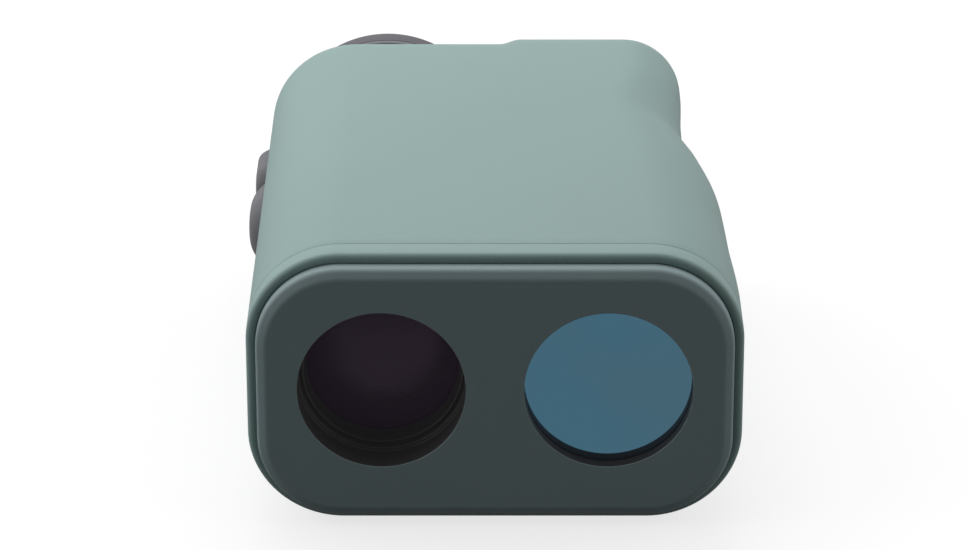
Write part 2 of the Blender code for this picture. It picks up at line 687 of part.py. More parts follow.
# ---------------------------------------------------------------- keys
def key(name, span, half, proud, dome):
    """Domed key with a lip behind the wall."""
    profile = [(-33.85, 0.8), (-34.25, 0.8), (-34.25, 0.0), (KEY_SIDE, 0.0)]  # (x, outline growth)
    for rise in (0.3, 0.6, 0.85, 0.97):
        profile.append((KEY_SIDE - proud * rise, half * ((1 - rise) ** (1 / dome) - 1)))
    profile.append((KEY_SIDE - proud, -0.85 * half))
    rings = []
    for x, grow in profile:
        reach = half + grow
        rings.append(at_x(x, rounded(grown(span, grow), around(MID, reach), reach, 5)))
    obj = loft(name, rings)
    move_origin(obj, (KEY_SIDE, sum(span) / 2, MID))
    finish(obj, KEY_RUBBER)


def key_switch(name, middle):
    """Switch with a round well, and the plunger that stands in it."""
    centre = (middle, MID)
    plunger = cylinder(name + "_plunger", "X", centre, (-33.55, -32.55), 1.6, 12, PARTS)
    finish(plunger, PLUNGER)
    switch = box(name + "_switch", (-32.75, -31.45), around(middle, 3), around(MID, 3))
    boolean(switch, cylinder(name + "_switch_well", "X", centre, (-33.05, -31.65), 1.9, 12))
    finish(switch, SWITCH)


for name, span, half, proud, dome in KEYS:
    key(name + "_button", span, half, proud, dome)
    key_switch(name, sum(span) / 2)
finish(box("button_board", (-31.15, -30.35), (5.0, 43.0), around(MID, 5.5), bevel=0.1), BOARD)
seal_out = rounded((MEASURE_Y[0] - 2.6, MODE_Y[1] + 1.3), around(MID, 8.4), 7.0, 4)
seal_in = rounded((MEASURE_Y[0] - 1.4, MODE_Y[1] + 1.1), around(MID, 7.5), 6.0, 4)
frame("keypad_seal", at_x, seal_out, seal_in, -33.65, -33.15)

# ---------------------------------------------------------------- electronics
board = box("main_board", (-20.0, 24.0), (-39.0, 13.6), (4.3, 5.3))
for n, place in enumerate(SCREWS[:2], 1):
    boolean(board, cylinder(f"board_hole_{n}", "Z", place, (2, 8), 2.9, 16))
finish(board, BOARD)
PART_Z = 5.6  # foot of the pieces that stand above the board
finish(box("microcontroller", (-4.5, 4.5), (-16.0, -7.0), (PART_Z, 6.9), bevel=0.2), CHIP)
finish(box("driver_shield", (12.0, 22.0), (-22.0, -8.0), (PART_Z, 7.4), bevel=0.3), BRIGHT_STEEL)
capacitor = cylinder("pulse_capacitor", "Z", (0.2, -25.0), (PART_Z, 14.0), 3.1, 20, PARTS)
finish(capacitor, CAPACITOR)


def display_ribbon():
    """Thin strip from the display down to the main board."""
    path = ((21.4, 13.8), (21.4, 9.8), (20.8, 7.9), (19.2, 7.0), (14.0, 6.7), (8.0, 6.6))  # (y, z)
    bm = bmesh.new()
    rows = [[bm.verts.new(Vector((x, y, z)) * MM) for x in around(PRISM_X, 5)] for y, z in path]
    for a, b in zip(rows, rows[1:]):
        bm.faces.new((a[0], a[1], b[1], b[0]))
    ribbon = new_object("display_ribbon", make_mesh("display_ribbon", bm))
    sheet = ribbon.modifiers.new("sheet", "SOLIDIFY")
    sheet.thickness = 0.2 * MM
    sheet.offset = 0
    sheet.use_even_offset = True
    finish(ribbon, RIBBON)


display_ribbon()

# ---------------------------------------------------------------- battery end
tube_profile = [(4.0, 16.8), (9.1, 16.8), (9.1, 45.2), (8.2, 45.2), (8.2, 17.7), (4.0, 17.7)]
tube = turned("battery_tube", CELL, tube_profile)
flange = plate_y("tube_flange", (5.4, 25.2), around(MID, 11.8), (43.7, 45.2), 6.4, CUTTERS)
boolean(flange, cylinder("flange_bore", "Y", CELL, (42, 48), 8.7, 24))
boolean(tube, flange, "UNION")
finish(tube, INNER_BLACK)

cell_profile = [
    (0, CELL_Y[0]), (3.0, CELL_Y[0]), (3.0, 19.4), (7.2, 19.4), (CELL_R, 20.0), (CELL_R, 44.8),
    (7.2, CELL_Y[1]), (0, CELL_Y[1]),
]
finish(turned("battery_cell", CELL, cell_profile, solid=True), CELL_METAL)
finish(disc("battery_front_contact", CELL, 3.6, 17.2, 18.1, 16), BRASS)


def battery_spring(turns=2, per_turn=12):
    """Flat coil that narrows towards the cell."""
    points = []
    for k in range(turns * per_turn + 1):
        a = 2 * math.pi * k / per_turn
        r = 5.2 - 1.5 * k / (turns * per_turn)
        y = 46.95 - 0.34 * k / per_turn
        points.append((CELL[0] + r * math.cos(a), y, MID + r * math.sin(a)))
    finish(wire("battery_spring", points, 0.13), BRIGHT_STEEL)


def casing_outer():
    """Whole outer form at the rear, for the door's skin."""
    rings = []
    for station in STATIONS[-7:]:
        upper = half_section(station)
        rings.append(upper + [(x, y, THICK - z) for x, y, z in upper[-2:0:-1]])
    return loft("casing_outer", rings, CUTTERS)


def battery_door():
    """Plate cut to the casing's form, with a hinge barrel and a notch at its free edge."""
    door_x, door_y = (DOOR_X[0] - 1.0, DOOR_X[1]), (DOOR_BACK, CLEAR_Y)
    door = plate_y("battery_door", door_x, DOOR_Z, door_y, 4.2, corner=5)
    boolean(door, casing_outer(), "INTERSECT")
    barrel = cylinder("door_barrel", "Z", PIN, DOOR_Z, BARREL_R, 24)
    barrel_y = (40, REAR_Y + LOBE_STEP - 0.1)
    boolean(barrel, box("barrel_top", (0, 12), barrel_y, (5, 40), CUTTERS), "INTERSECT")
    boolean(door, barrel, "UNION")
    boolean(door, cylinder("door_pin_way", "Z", PIN, (5, 40), PIN_HOLE_R, 12))
    notch = (DOOR_X[1] + 1.6, 49.3)
    boolean(door, cylinder("door_notch", "Z", notch, around(MID, 3.5), 2.1, 16))
    move_origin(door, (*PIN, 0))
    finish(door, CASING)


battery_spring()
battery_door()
pin = cylinder("battery_door_pin", "Z", PIN, grown(PIN_HOLE_Z, -GAP), PIN_R, 12, PARTS)
finish(pin, BRIGHT_STEEL)
gasket_out = rounded((7.4, 24.2), around(MID, 9.9), 4.2, 4)
gasket_in = rounded((8.4, 23.2), around(MID, 8.9), 3.4, 4)
frame("battery_door_gasket", at_y, gasket_out, gasket_in, DOOR_SEAT_Y, 47.15)
lead_path = [
    (CELL[0], 16.5, MID - 2), (CELL[0], 15.0, MID - 3), (10.0, 12.6, 14.0), (8.0, 9.5, 8.5),
    (8.0, 6.0, 6.2),
]
finish(wire("battery_lead", lead_path, 0.4), LEAD)
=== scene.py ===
"""Looks of a handheld laser rangefinder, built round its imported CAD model.

Every piece rides on a CAD body. Lengths are millimetres in the CAD frame, and MM turns them into
metres. +Z is up from the resting face, -Y the objective end, +Y the eyepiece and battery end, -X
the key side. The casing has an upper and a lower half, which meet at MID. The profile of a turned
piece is a list of (radius, place along its axis).
"""

import json
import math

import bmesh
import bpy
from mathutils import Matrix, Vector

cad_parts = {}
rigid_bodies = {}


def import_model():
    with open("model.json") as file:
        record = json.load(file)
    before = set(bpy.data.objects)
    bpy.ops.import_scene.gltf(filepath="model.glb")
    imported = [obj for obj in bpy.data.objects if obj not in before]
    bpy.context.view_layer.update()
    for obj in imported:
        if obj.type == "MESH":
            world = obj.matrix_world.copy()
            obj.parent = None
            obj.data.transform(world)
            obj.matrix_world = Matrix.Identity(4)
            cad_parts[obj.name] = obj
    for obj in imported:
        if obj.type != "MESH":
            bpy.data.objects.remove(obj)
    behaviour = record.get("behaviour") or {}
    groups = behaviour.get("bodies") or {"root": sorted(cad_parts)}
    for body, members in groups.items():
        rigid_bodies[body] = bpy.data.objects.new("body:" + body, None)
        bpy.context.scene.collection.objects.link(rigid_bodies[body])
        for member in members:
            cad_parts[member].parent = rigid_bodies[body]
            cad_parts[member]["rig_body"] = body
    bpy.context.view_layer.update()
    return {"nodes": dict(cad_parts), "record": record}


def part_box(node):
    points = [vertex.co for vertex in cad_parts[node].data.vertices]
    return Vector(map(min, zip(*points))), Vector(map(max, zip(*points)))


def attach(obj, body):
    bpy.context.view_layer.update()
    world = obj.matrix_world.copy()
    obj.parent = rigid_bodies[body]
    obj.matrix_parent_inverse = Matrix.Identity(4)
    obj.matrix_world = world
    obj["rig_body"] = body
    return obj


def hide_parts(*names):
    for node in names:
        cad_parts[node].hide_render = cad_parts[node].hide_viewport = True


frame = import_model()
MM = 0.001
ALL_NODES = dict(frame["nodes"])
SLOT_OF = {part["node"]: part["material_slot"] for part in frame["record"]["subparts"]}
BODY_OF = {name: obj["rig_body"] for name, obj in ALL_NODES.items()}


def cad(cad_name):
    """A CAD node's lowest and highest corners, in millimetres."""
    low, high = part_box(cad_name)
    return low / MM, high / MM


def cad_centre(cad_name, axes):
    """The middle of a CAD node along the given axes."""
    low, high = cad(cad_name)
    return tuple((getattr(low, axis) + getattr(high, axis)) / 2 for axis in axes)


# ---------------------------------------------------------------- driving dimensions
BEZEL_LOW, BEZEL_HIGH = cad("front_bezel")
PANEL_LOW, PANEL_HIGH = cad("front_panel")
SHELL_LOW, SHELL_HIGH = cad("left_side_shell")  # the upper half
DOOR_LOW, DOOR_HIGH = cad("battery_door")
WINDOW_LOW, WINDOW_HIGH = cad("receiver_window")
LOCK_LOW, LOCK_HIGH = cad("window_retaining_ring")
CELL_LOW, CELL_HIGH = cad("battery_cell")

HALF_WIDTH = BEZEL_HIGH.x
THICK = BEZEL_HIGH.z
MID = THICK / 2
HALF_GAP = SHELL_LOW.z - MID  # from MID to the foot of either half
CORNER_R = 14.1  # corners of the cross-section
WALL = 2.0
FACE_Y = PANEL_LOW.y
BAND_Y = BEZEL_LOW.y
FRONT_Y = SHELL_LOW.y
LOBE_STEP = 2.2  # how far the +X part of the rear end stands out behind the rest
LOBE_R = 9.4  # +X section corners at the rear end
REAR_Y = SHELL_HIGH.y - LOBE_STEP
REAR_R = 9.0  # rear rounding
REAR_R_KEY = 7.7  # the same on the key side
DOME_Y = REAR_Y - REAR_R
# (y, x of the +X side)
GRIP = (
    (-50, 36.65), (-36, 36.65), (-20, 35.95), (-4, 35.4), (8, 33.55), (16, 30.75),
    (22, 30.15), (27, 30.1), (31, 30.3), (36, 30.5), (52, 30.5),
)

# centres across each piece's own axis
EYE = (cad_centre("eyecup", "x")[0], MID)
OBJECTIVE = cad_centre("objective_barrel", "xz")
RECEIVER = cad_centre("receiver_barrel", "xz")
CELL = (cad_centre("battery_cell", "x")[0], MID)
PIN = cad_centre("battery_door_pin", "xy")
TRIPOD = (cad_centre("tripod_insert", "y")[0], MID)
SCREWS = [cad_centre(f"housing_screw_{n}", "xy") for n in (1, 2, 3)]

OBJECTIVE_FRONT = cad("objective_barrel")[0].y
RECEIVER_FRONT = cad("receiver_barrel")[0].y
APERTURE_R = 12.4  # both openings in the front plate
RING_R = cad("diopter_ring")[1].x - EYE[0]
CUP_R = cad("eyecup")[1].x - EYE[0]
CUP_END = cad("eyecup")[1].y
BOSS_END = 49.2  # rear of the eyepiece boss

scene = bpy.context.scene
WORK = bpy.data.collections.new("work")
scene.collection.children.link(WORK)


# ---------------------------------------------------------------- shape tools
def smooth(t):
    t = min(max(t, 0.0), 1.0)
    return t * t * (3 - 2 * t)


def along(table, y):
    """Monotone cubic through a table of (y, value)."""
    index = 0
    while index < len(table) - 2 and y > table[index + 1][0]:
        index += 1
    (start, first), (end, second) = table[index : index + 2]
    span = end - start
    slope = (second - first) / span
    before = after = slope
    if index:
        before = (first - table[index - 1][1]) / (start - table[index - 1][0])
    if index + 2 < len(table):
        after = (table[index + 2][1] - second) / (table[index + 2][0] - end)

    def tangent(beside):
        return 0.0 if beside * slope <= 0 else 2 * beside * slope / (beside + slope)

    t = min(max((y - start) / span, 0.0), 1.0)
    return (
        first * (1 + 2 * t) * (1 - t) ** 2
        + tangent(before) * span * t * (1 - t) ** 2
        + second * t * t * (3 - 2 * t)
        - tangent(after) * span * t * t * (1 - t)
    )


def shade(mesh, angle=32):
    mesh.shade_smooth()
    mesh.set_sharp_from_angle(angle=math.radians(angle))


def object_from(name, form, angle=32):
    bmesh.ops.recalc_face_normals(form, faces=form.faces)
    mesh = bpy.data.meshes.new(name)
    form.to_mesh(mesh)
    form.free()
    shade(mesh, angle)
    obj = bpy.data.objects.new(name, mesh)
    WORK.objects.link(obj)
    return obj


def strips(rows, wrap=True):
    """Corner lists of the faces between neighbouring rows; wrap closes each row on itself."""
    for near, far in zip(rows, rows[1:]):
        for i in range(len(near) if wrap else len(near) - 1):
            j = (i + 1) % len(near)
            corners = list(dict.fromkeys((near[i], near[j], far[j], far[i])))
            if len(corners) > 2:
                yield corners


def add_faces(form, corner_lists):
    for corners in corner_lists:
        form.faces.new(corners)


def fillet(points, radius, steps=3, closed=True):
    """Rounds the corners of an outline or a profile; an open one keeps its ends."""
    out = []
    count = len(points)
    for i, point in enumerate(points):
        corner = Vector(point)
        if not closed and i in (0, count - 1):
            out.append(tuple(corner))
            continue
        back = Vector(points[i - 1]) - corner
        ahead = Vector(points[(i + 1) % count]) - corner
        short = back.length < 1e-6 or ahead.length < 1e-6
        if short or abs(math.pi - back.angle(ahead)) < 0.15:
            out.append(tuple(corner))
            continue
        reach = min(radius, back.length * 0.45, ahead.length * 0.45)
        start = corner + back.normalized() * reach
        end = corner + ahead.normalized() * reach
        for k in range(steps + 1):
            t = k / steps
            out.append(tuple(start * (1 - t) ** 2 + corner * (2 * t * (1 - t)) + end * t * t))
    return out


def place(axis, centre, radius, angle, along_axis):
    u, v = radius * math.cos(angle), radius * math.sin(angle)
    if axis == "Y":
        return Vector((centre[0] + u, along_axis, centre[1] + v)) * MM
    if axis == "X":
        return Vector((along_axis, centre[0] + u, centre[1] + v)) * MM
    return Vector((centre[0] + u, centre[1] + v, along_axis)) * MM


def lathe(name, centre, profile, axis="Y", steps=96, relief=None, angle=32):
    """Turns a profile. One that starts on the axis ends there too; any other is a closed loop.

    relief(radius, place, angle) is added to the radius.
    """
    form = bmesh.new()
    columns = []
    for radius, at in profile:
        if radius < 1e-6:
            columns.append([form.verts.new(place(axis, centre, 0, 0, at))] * steps)
            continue
        column = []
        for k in range(steps):
            turn = 2 * math.pi * k / steps
            grown = radius + (relief(radius, at, turn) if relief else 0.0)
            column.append(form.verts.new(place(axis, centre, grown, turn, at)))
        columns.append(column)
    if profile[0][0] > 1e-6:
        columns.append(columns[0])
    add_faces(form, strips(columns))
    return object_from(name, form, angle)


def loft(name, rings, loop=False, angle=32):
    """Skin over rings of points: a loop joins the last to the first, otherwise both are capped."""
    form = bmesh.new()
    rows = [[form.verts.new(Vector(point) * MM) for point in ring] for ring in rings]
    add_faces(form, strips(rows + [rows[0]] if loop else rows))
    if not loop:
        add_faces(form, (rows[0], rows[-1]))
    return object_from(name, form, angle)


def rounded(left, right, bottom, top, radius, corner=16):
    """Rectangle with round corners, each in the given number of steps."""
    radius = min(radius, (right - left) / 2 - 0.01, (top - bottom) / 2 - 0.01)
    centres = (
        (right - radius, top - radius), (left + radius, top - radius),
        (left + radius, bottom + radius), (right - radius, bottom + radius),
    )
    points = []
    for quarter, (across, up) in enumerate(centres):
        for k in range(corner + 1):
            turn = math.radians(90 * quarter + 90 * k / corner)
            points.append((across + radius * math.cos(turn), up + radius * math.sin(turn)))
    return points


def at_y(outline, y):
    return [(x, y, z) for x, z in outline]


def cuboid(name, x, y, z):
    form = bmesh.new()
    bmesh.ops.create_cube(form, size=1.0)
    for vert in form.verts:
        vert.co = Vector([span[side > 0] for side, span in zip(vert.co, (x, y, z))]) * MM
    return object_from(name, form)


def rod(name, axis, centre, start, end, radius, steps=64, flare=None):
    """Cylinder used to add or cut.

    flare is (position, extra radius, depth): a rounded mouth where it leaves the surface.
    """
    profile = [(radius, start), (radius, end)]
    if flare:
        at, extra, depth = flare
        way = 1 if at > (start + end) / 2 else -1
        mouth = []
        for k in range(5):
            turn = math.radians(90 * k / 4)
            wider = radius + extra * (1 - math.cos(turn))
            mouth.append((wider, at - way * depth * (1 - math.sin(turn))))
        if way > 0:
            profile = [(radius, start)] + mouth + [(radius + extra, end)]
        else:
            profile = [(radius + extra, start)] + mouth[::-1] + [(radius, end)]
    return lathe(name, centre, [(0, start)] + profile + [(0, end)], axis, steps)


def boolean(obj, other, operation="DIFFERENCE"):
    made = obj.modifiers.new(operation.lower(), "BOOLEAN")
    made.operation = operation
    made.solver = "MANIFOLD"
    made.object = other


def cutters_of(obj):
    """The objects an object's booleans use, and those that these use in turn."""
    found = []
    for modifier in obj.modifiers:
        found += [modifier.object] + cutters_of(modifier.object)
    return found


def evaluated_mesh(obj):
    bpy.context.view_layer.update()
    graph = bpy.context.evaluated_depsgraph_get()
    return bpy.data.meshes.new_from_object(obj.evaluated_get(graph))


def settle(obj, angle=32):
    """Applies the booleans, shades the result and removes their objects."""
    cutters = cutters_of(obj)
    mesh = evaluated_mesh(obj)
    obj.modifiers.clear()
    obj.data = mesh
    mesh.name = obj.name
    shade(mesh, angle)
    for cutter in cutters:
        bpy.data.objects.remove(cutter, do_unlink=True)


def weigh_normals(obj):
    weigh = obj.modifiers.new("normals", "WEIGHTED_NORMAL")
    weigh.keep_sharp = True


def wire(name, points, radius):
    """Round wire along points, as a mesh."""
    curve = bpy.data.curves.new(name, "CURVE")
    curve.dimensions = "3D"
    curve.bevel_depth = radius * MM
    curve.bevel_resolution = 3
    curve.use_fill_caps = True
    spline = curve.splines.new("POLY")
    spline.points.add(len(points) - 1)
    for target, point in zip(spline.points, points):
        target.co = (*(Vector(point) * MM), 1)
    bent = bpy.data.objects.new(name, curve)
    WORK.objects.link(bent)
    mesh = evaluated_mesh(bent)
    bpy.data.objects.remove(bent, do_unlink=True)
    obj = bpy.data.objects.new(name, mesh)
    WORK.objects.link(obj)
    shade(mesh, 40)
    return obj


# ---------------------------------------------------------------- shader tools
def feed(tree, target, inputs):
    """Links or sets a node's inputs."""
    for key, value in inputs.items():
        if isinstance(value, bpy.types.NodeSocket):
            tree.links.new(value, target.inputs[key])
        else:
            target.inputs[key].default_value = value


def node(tree, kind, inputs=None, **settings):
    made = tree.nodes.new(kind)
    for key, value in settings.items():
        setattr(made, key, value)
    feed(tree, made, inputs or {})
    return made


def maths(tree, operation, *values, clamp=False):
    inputs = dict(enumerate(values))
    made = node(tree, "ShaderNodeMath", inputs, operation=operation, use_clamp=clamp)
    return made.outputs[0]


def spread(tree, value, low, high, to_low=0.0, to_high=1.0):
    """Maps low..high to to_low..to_high."""
    inputs = {
        "Value": value, "From Min": low, "From Max": high, "To Min": to_low, "To Max": to_high,
    }
    return node(tree, "ShaderNodeMapRange", inputs).outputs["Result"]


def mix(tree, factor, first, second, blend="MIX"):
    inputs = {0: factor}
    for key, colour in ((6, first), (7, second)):
        inputs[key] = colour if isinstance(colour, bpy.types.NodeSocket) else (*colour, 1.0)
    return node(tree, "ShaderNodeMix", inputs, data_type="RGBA", blend_type=blend).outputs[2]


def toned(tree, colour, tone):
    """A colour multiplied by a grey tone."""
    grey = node(tree, "ShaderNodeCombineColor", {0: tone, 1: tone, 2: tone}).outputs[0]
    return mix(tree, 1.0, colour, grey, "MULTIPLY")


def noise(tree, coords, scale, detail=2.0, rough=0.5, stretch=None):
    if stretch:
        coords = node(tree, "ShaderNodeMapping", {"Vector": coords, "Scale": stretch}).outputs[0]
    inputs = {"Vector": coords, "Scale": scale, "Detail": detail, "Roughness": rough}
    return node(tree, "ShaderNodeTexNoise", inputs).outputs["Fac"]


def vary(tree, value, amount, around):
    """A 0..1 value turned into a swing of the given amount either way."""
    return maths(
        tree, "MULTIPLY_ADD", maths(tree, "SUBTRACT", value, 0.5), amount * 2, around
    )


def bumped(tree, height, strength, depth, normal=None):
    """Normal from a height; depth is in millimetres."""
    inputs = {"Height": height, "Strength": strength, "Distance": depth * MM}
    if normal is not None:
        inputs["Normal"] = normal
    return node(tree, "ShaderNodeBump", inputs).outputs[0]


# ---------------------------------------------------------------- kinds of material
FINISH = {}


def new_material(name):
    """Makes a finish; returns its tree, main shader and object coordinates."""
    made = bpy.data.materials.new(name)
    made.use_nodes = True
    FINISH[name] = made
    tree = made.node_tree
    coords = node(tree, "ShaderNodeTexCoord").outputs["Object"]
    return tree, tree.nodes["Principled BSDF"], coords


def surface(
    name, colour, rough, mottle, bump, metal=0.0, grain=(5000.0, 0.06), rough_change=0.08,
    ripple=None, sheen=0.0, coat=0.0, specular=0.5, edge=0.0, edge_colour=None, edge_radius=0.25,
    stretch=None, painted_stray_light=0.0, painted_light_falloff=None,
):
    """Moulded or machined surface.

    mottle and grain are broad and fine tone changes: (scale, strength). bump is fine relief:
    (scale, strength, depth). ripple is wide relief: (scale, depth). edge is the amount of wear on
    edges. painted_stray_light is painted stray light, an emission that lifts the blacks.
    painted_light_falloff is painted light and shade, a slow change of tone: its (low end, high
    end) along Y, then along X. stretch scales the pattern by axis.
    """
    tree, shader, coords = new_material(name)
    broad = noise(tree, coords, mottle[0], detail=3.0, stretch=stretch)
    fine = noise(tree, coords, grain[0], rough=0.6, stretch=stretch)
    shift = vary(tree, broad, mottle[1], 1.0)
    base = toned(tree, colour, vary(tree, fine, grain[1], shift))
    # painted light and shade: the tone drops towards the front (-Y) and towards the +X side, where the
    # light is weaker
    if painted_light_falloff:
        part = node(tree, "ShaderNodeSeparateXYZ", {0: coords})
        painted_light_y = spread(tree, part.outputs["Y"], -0.048, 0.045, *painted_light_falloff[0])
        painted_light_x = spread(tree, part.outputs["X"], -0.036, 0.036, *painted_light_falloff[1])
        base = toned(tree, base, maths(tree, "MULTIPLY", painted_light_y, painted_light_x))
    if edge:
        # wear shows where a rounded normal leaves the true one, in noisy patches
        soft = node(tree, "ShaderNodeBevel", {"Radius": edge_radius * MM}, samples=4)
        normal = node(tree, "ShaderNodeNewGeometry").outputs["Normal"]
        agree = node(
            tree, "ShaderNodeVectorMath", {0: soft.outputs[0], 1: normal}, operation="DOT_PRODUCT"
        ).outputs["Value"]
        worn = spread(tree, agree, low=0.995, high=0.9)
        patch = spread(tree, noise(tree, coords, scale=350.0, detail=3.0), low=0.35, high=0.6)
        worn = maths(tree, "MULTIPLY", worn, patch)
        base = mix(tree, maths(tree, "MULTIPLY", worn, edge, clamp=True), base, edge_colour)
    # the roughness pattern is finer than the mottle by this factor
    patchy = noise(tree, coords, mottle[0] * 3.3, detail=3.0, rough=0.6, stretch=stretch)
    feed(tree, shader, {
        "Base Color": base,
        "Roughness": vary(tree, patchy, rough_change, rough),
        "Metallic": metal,
        "Specular IOR Level": specular,
    })
    # painted stray light: the surface itself gives off faint light that lifts the blacks
    if painted_stray_light:
        feed(tree, shader, {"Emission Color": (1.0, 0.97, 1.0, 1), "Emission Strength": painted_stray_light})
    if sheen:
        feed(tree, shader, {"Sheen Weight": sheen, "Sheen Roughness": 0.45})
    if coat:
        feed(tree, shader, {"Coat Weight": coat, "Coat Roughness": 0.2})
    height = noise(tree, coords, bump[0], rough=0.6, stretch=stretch)
    relief = bumped(tree, height, strength=bump[1], depth=bump[2])
    if ripple:
        wide = noise(tree, coords, ripple[0], detail=1.0)
        relief = bumped(tree, wide, strength=1.0, depth=ripple[1], normal=relief)
    feed(tree, shader, {"Normal": relief})


def optic(name, tint, reflect, rough, see_through, body=None, painted_glow=None):
    """Glass with a faint uneven coat: a tinted reflection over its body, or a mirror without one."""
    tree, shader, coords = new_material(name)
    broad = noise(tree, coords, scale=55.0)
    second = noise(tree, coords, scale=90.0, detail=1.0)
    drift = (0.86, 1.04, 1.1)  # the tint's change, by channel, across the coat
    other = tuple(channel * factor for channel, factor in zip(tint, drift))
    coat = mix(tree, spread(tree, broad, low=0.35, high=0.65), tint, other)
    if body:
        # the linked socket's own value matches the body
        feed(tree, shader, {"Base Color": (*body, 1)})
    feed(tree, shader, {
        "Base Color": mix(tree, 0.0, body, body) if body else coat,
        "Metallic": 0.0 if body else 1.0,
        "Transmission Weight": see_through,
        "IOR": 1.5,
        "Specular IOR Level": reflect,
        "Specular Tint": coat,
        "Roughness": spread(tree, second, low=0.3, high=0.7, to_low=rough, to_high=rough * 1.8),
    })
    # painted light: the glass itself gives off a faint light
    if painted_glow:
        feed(tree, shader, {"Emission Color": (*painted_glow, 1), "Emission Strength": 1.0})


def circuit(name):
    """Solder mask with copper tracks under it and plated pads."""
    tree, shader, coords = new_material(name)
    tracks = node(
        tree, "ShaderNodeTexBrick",
        {
            "Vector": coords, "Scale": 420.0, "Mortar Size": 0.035, "Mortar Smooth": 0.1,
            "Brick Width": 0.9, "Row Height": 0.4,
        },
        offset=0.37,
    ).outputs["Fac"]
    dots = node(
        tree, "ShaderNodeTexVoronoi", {"Vector": coords, "Scale": 330.0, "Randomness": 0.75}
    )
    pad = spread(tree, dots.outputs["Distance"], low=0.2, high=0.16)
    mask = mix(tree, tracks, (0.012, 0.11, 0.045), (0.035, 0.2, 0.07))
    cloud_scale = 700.0
    feed(tree, shader, {
        "Base Color": mix(tree, pad, mask, (0.75, 0.6, 0.28)),
        "Metallic": maths(tree, "MULTIPLY", pad, 0.9),
        "Roughness": spread(
            tree, noise(tree, coords, cloud_scale), low=0.3, high=0.7, to_low=0.28, to_high=0.42
        ),
    })
    height = maths(tree, "ADD", maths(tree, "MULTIPLY", tracks, 0.5), pad)
    feed(tree, shader, {"Normal": bumped(tree, height, strength=0.6, depth=0.03)})


def banded(name, bands, axis, ends, rough, metal):
    """Printed sleeve with fine scratches; bands are (start from 0 to 1 between the ends, colour)."""
    tree, shader, coords = new_material(name)
    split = node(tree, "ShaderNodeSeparateXYZ", {0: coords})
    share = spread(tree, split.outputs[axis], low=ends[0] * MM, high=ends[1] * MM)
    ramp = node(tree, "ShaderNodeValToRGB", {"Fac": share})
    ramp.color_ramp.interpolation = "CONSTANT"
    while len(ramp.color_ramp.elements) < len(bands):
        ramp.color_ramp.elements.new(0.5)
    for element, (position, colour) in zip(ramp.color_ramp.elements, bands):
        element.position = position
        element.color = (*colour, 1)
    scratch = noise(tree, coords, scale=900.0, detail=3.0, rough=0.7, stretch=(1.0, 0.08, 1.0))
    tone = spread(tree, scratch, low=0.3, high=0.7, to_low=0.96, to_high=1.03)
    feed(tree, shader, {
        "Base Color": toned(tree, ramp.outputs[0], tone),
        "Metallic": metal,
        "Roughness": spread(
            tree, scratch, low=0.3, high=0.7, to_low=rough - 0.03, to_high=rough + 0.05
        ),
    })


# ---------------------------------------------------------------- the finishes, one per slot
# the casing's green carries painted light and shade, darker towards the front and the +X side
surface(
    "soft_touch_green", colour=(0.222, 0.335, 0.318), rough=0.56, painted_light_falloff=((0.86, 0.99), (1.03, 0.93)),
    mottle=(38.0, 0.022), grain=(4200.0, 0.05), rough_change=0.04, bump=(4200.0, 0.35, 0.012),
    ripple=(70.0, 0.012), sheen=0.10, specular=0.42, edge=0.22, edge_colour=(0.33, 0.42, 0.40),
)
# the plate's green is a little bluer than the casing's and set darker, which paints in part of the
# shade on its front face
surface(
    "front_panel_green", colour=(0.196, 0.262, 0.272), rough=0.6,
    mottle=(38.0, 0.03), grain=(4200.0, 0.06), rough_change=0.05, bump=(4200.0, 0.4, 0.014),
    ripple=(70.0, 0.01), sheen=0.06, specular=0.4, edge=0.15, edge_colour=(0.33, 0.42, 0.40),
)
# the two black finishes below give off faint painted stray light
surface(
    "black_anodised", colour=(0.020, 0.019, 0.020), rough=0.42, painted_stray_light=0.0068, mottle=(120.0, 0.1),
    bump=(2500.0, 0.3, 0.006), specular=0.45, edge=0.5, edge_colour=(0.12, 0.12, 0.12),
)
surface(
    "black_plastic", colour=(0.036, 0.034, 0.034), rough=0.55, painted_stray_light=0.0045, mottle=(90.0, 0.1),
    bump=(3200.0, 0.5, 0.015), specular=0.4,
)
surface(
    "key_rubber", colour=(0.124, 0.124, 0.136), rough=0.68, mottle=(150.0, 0.06),
    grain=(4200.0, 0.12), bump=(3600.0, 0.7, 0.02), sheen=0.18, specular=0.35,
)
surface(
    "eyecup_rubber", colour=(0.080, 0.077, 0.092), rough=0.74, mottle=(110.0, 0.07),
    grain=(3600.0, 0.12), bump=(3000.0, 0.8, 0.025), sheen=0.22, specular=0.3,
)
surface(
    "seal_rubber", colour=(0.013, 0.013, 0.014), rough=0.75, mottle=(200.0, 0.12),
    bump=(2600.0, 0.7, 0.02), sheen=0.2, specular=0.3,
)
circuit("circuit_board")
surface(
    "chip_black", colour=(0.02, 0.02, 0.021), rough=0.5, mottle=(700.0, 0.1),
    bump=(5200.0, 0.6, 0.01),
)
surface(
    "ribbon_amber", colour=(0.48, 0.19, 0.03), rough=0.32, mottle=(300.0, 0.08),
    bump=(1500.0, 0.3, 0.01), stretch=(1.0, 0.1, 0.1), coat=0.3,
)
surface(
    "wire_red", colour=(0.38, 0.02, 0.02), rough=0.35, mottle=(500.0, 0.06),
    bump=(2500.0, 0.3, 0.01), coat=0.2,
)
surface(
    "steel", colour=(0.56, 0.56, 0.57), rough=0.3, metal=1.0, mottle=(250.0, 0.05),
    bump=(2600.0, 0.4, 0.004), stretch=(1.0, 0.12, 1.0),
)
surface(
    "dark_steel", colour=(0.06, 0.06, 0.065), rough=0.36, metal=0.9, mottle=(300.0, 0.1),
    bump=(3000.0, 0.4, 0.006), edge=0.8, edge_colour=(0.4, 0.4, 0.42), edge_radius=0.12,
)
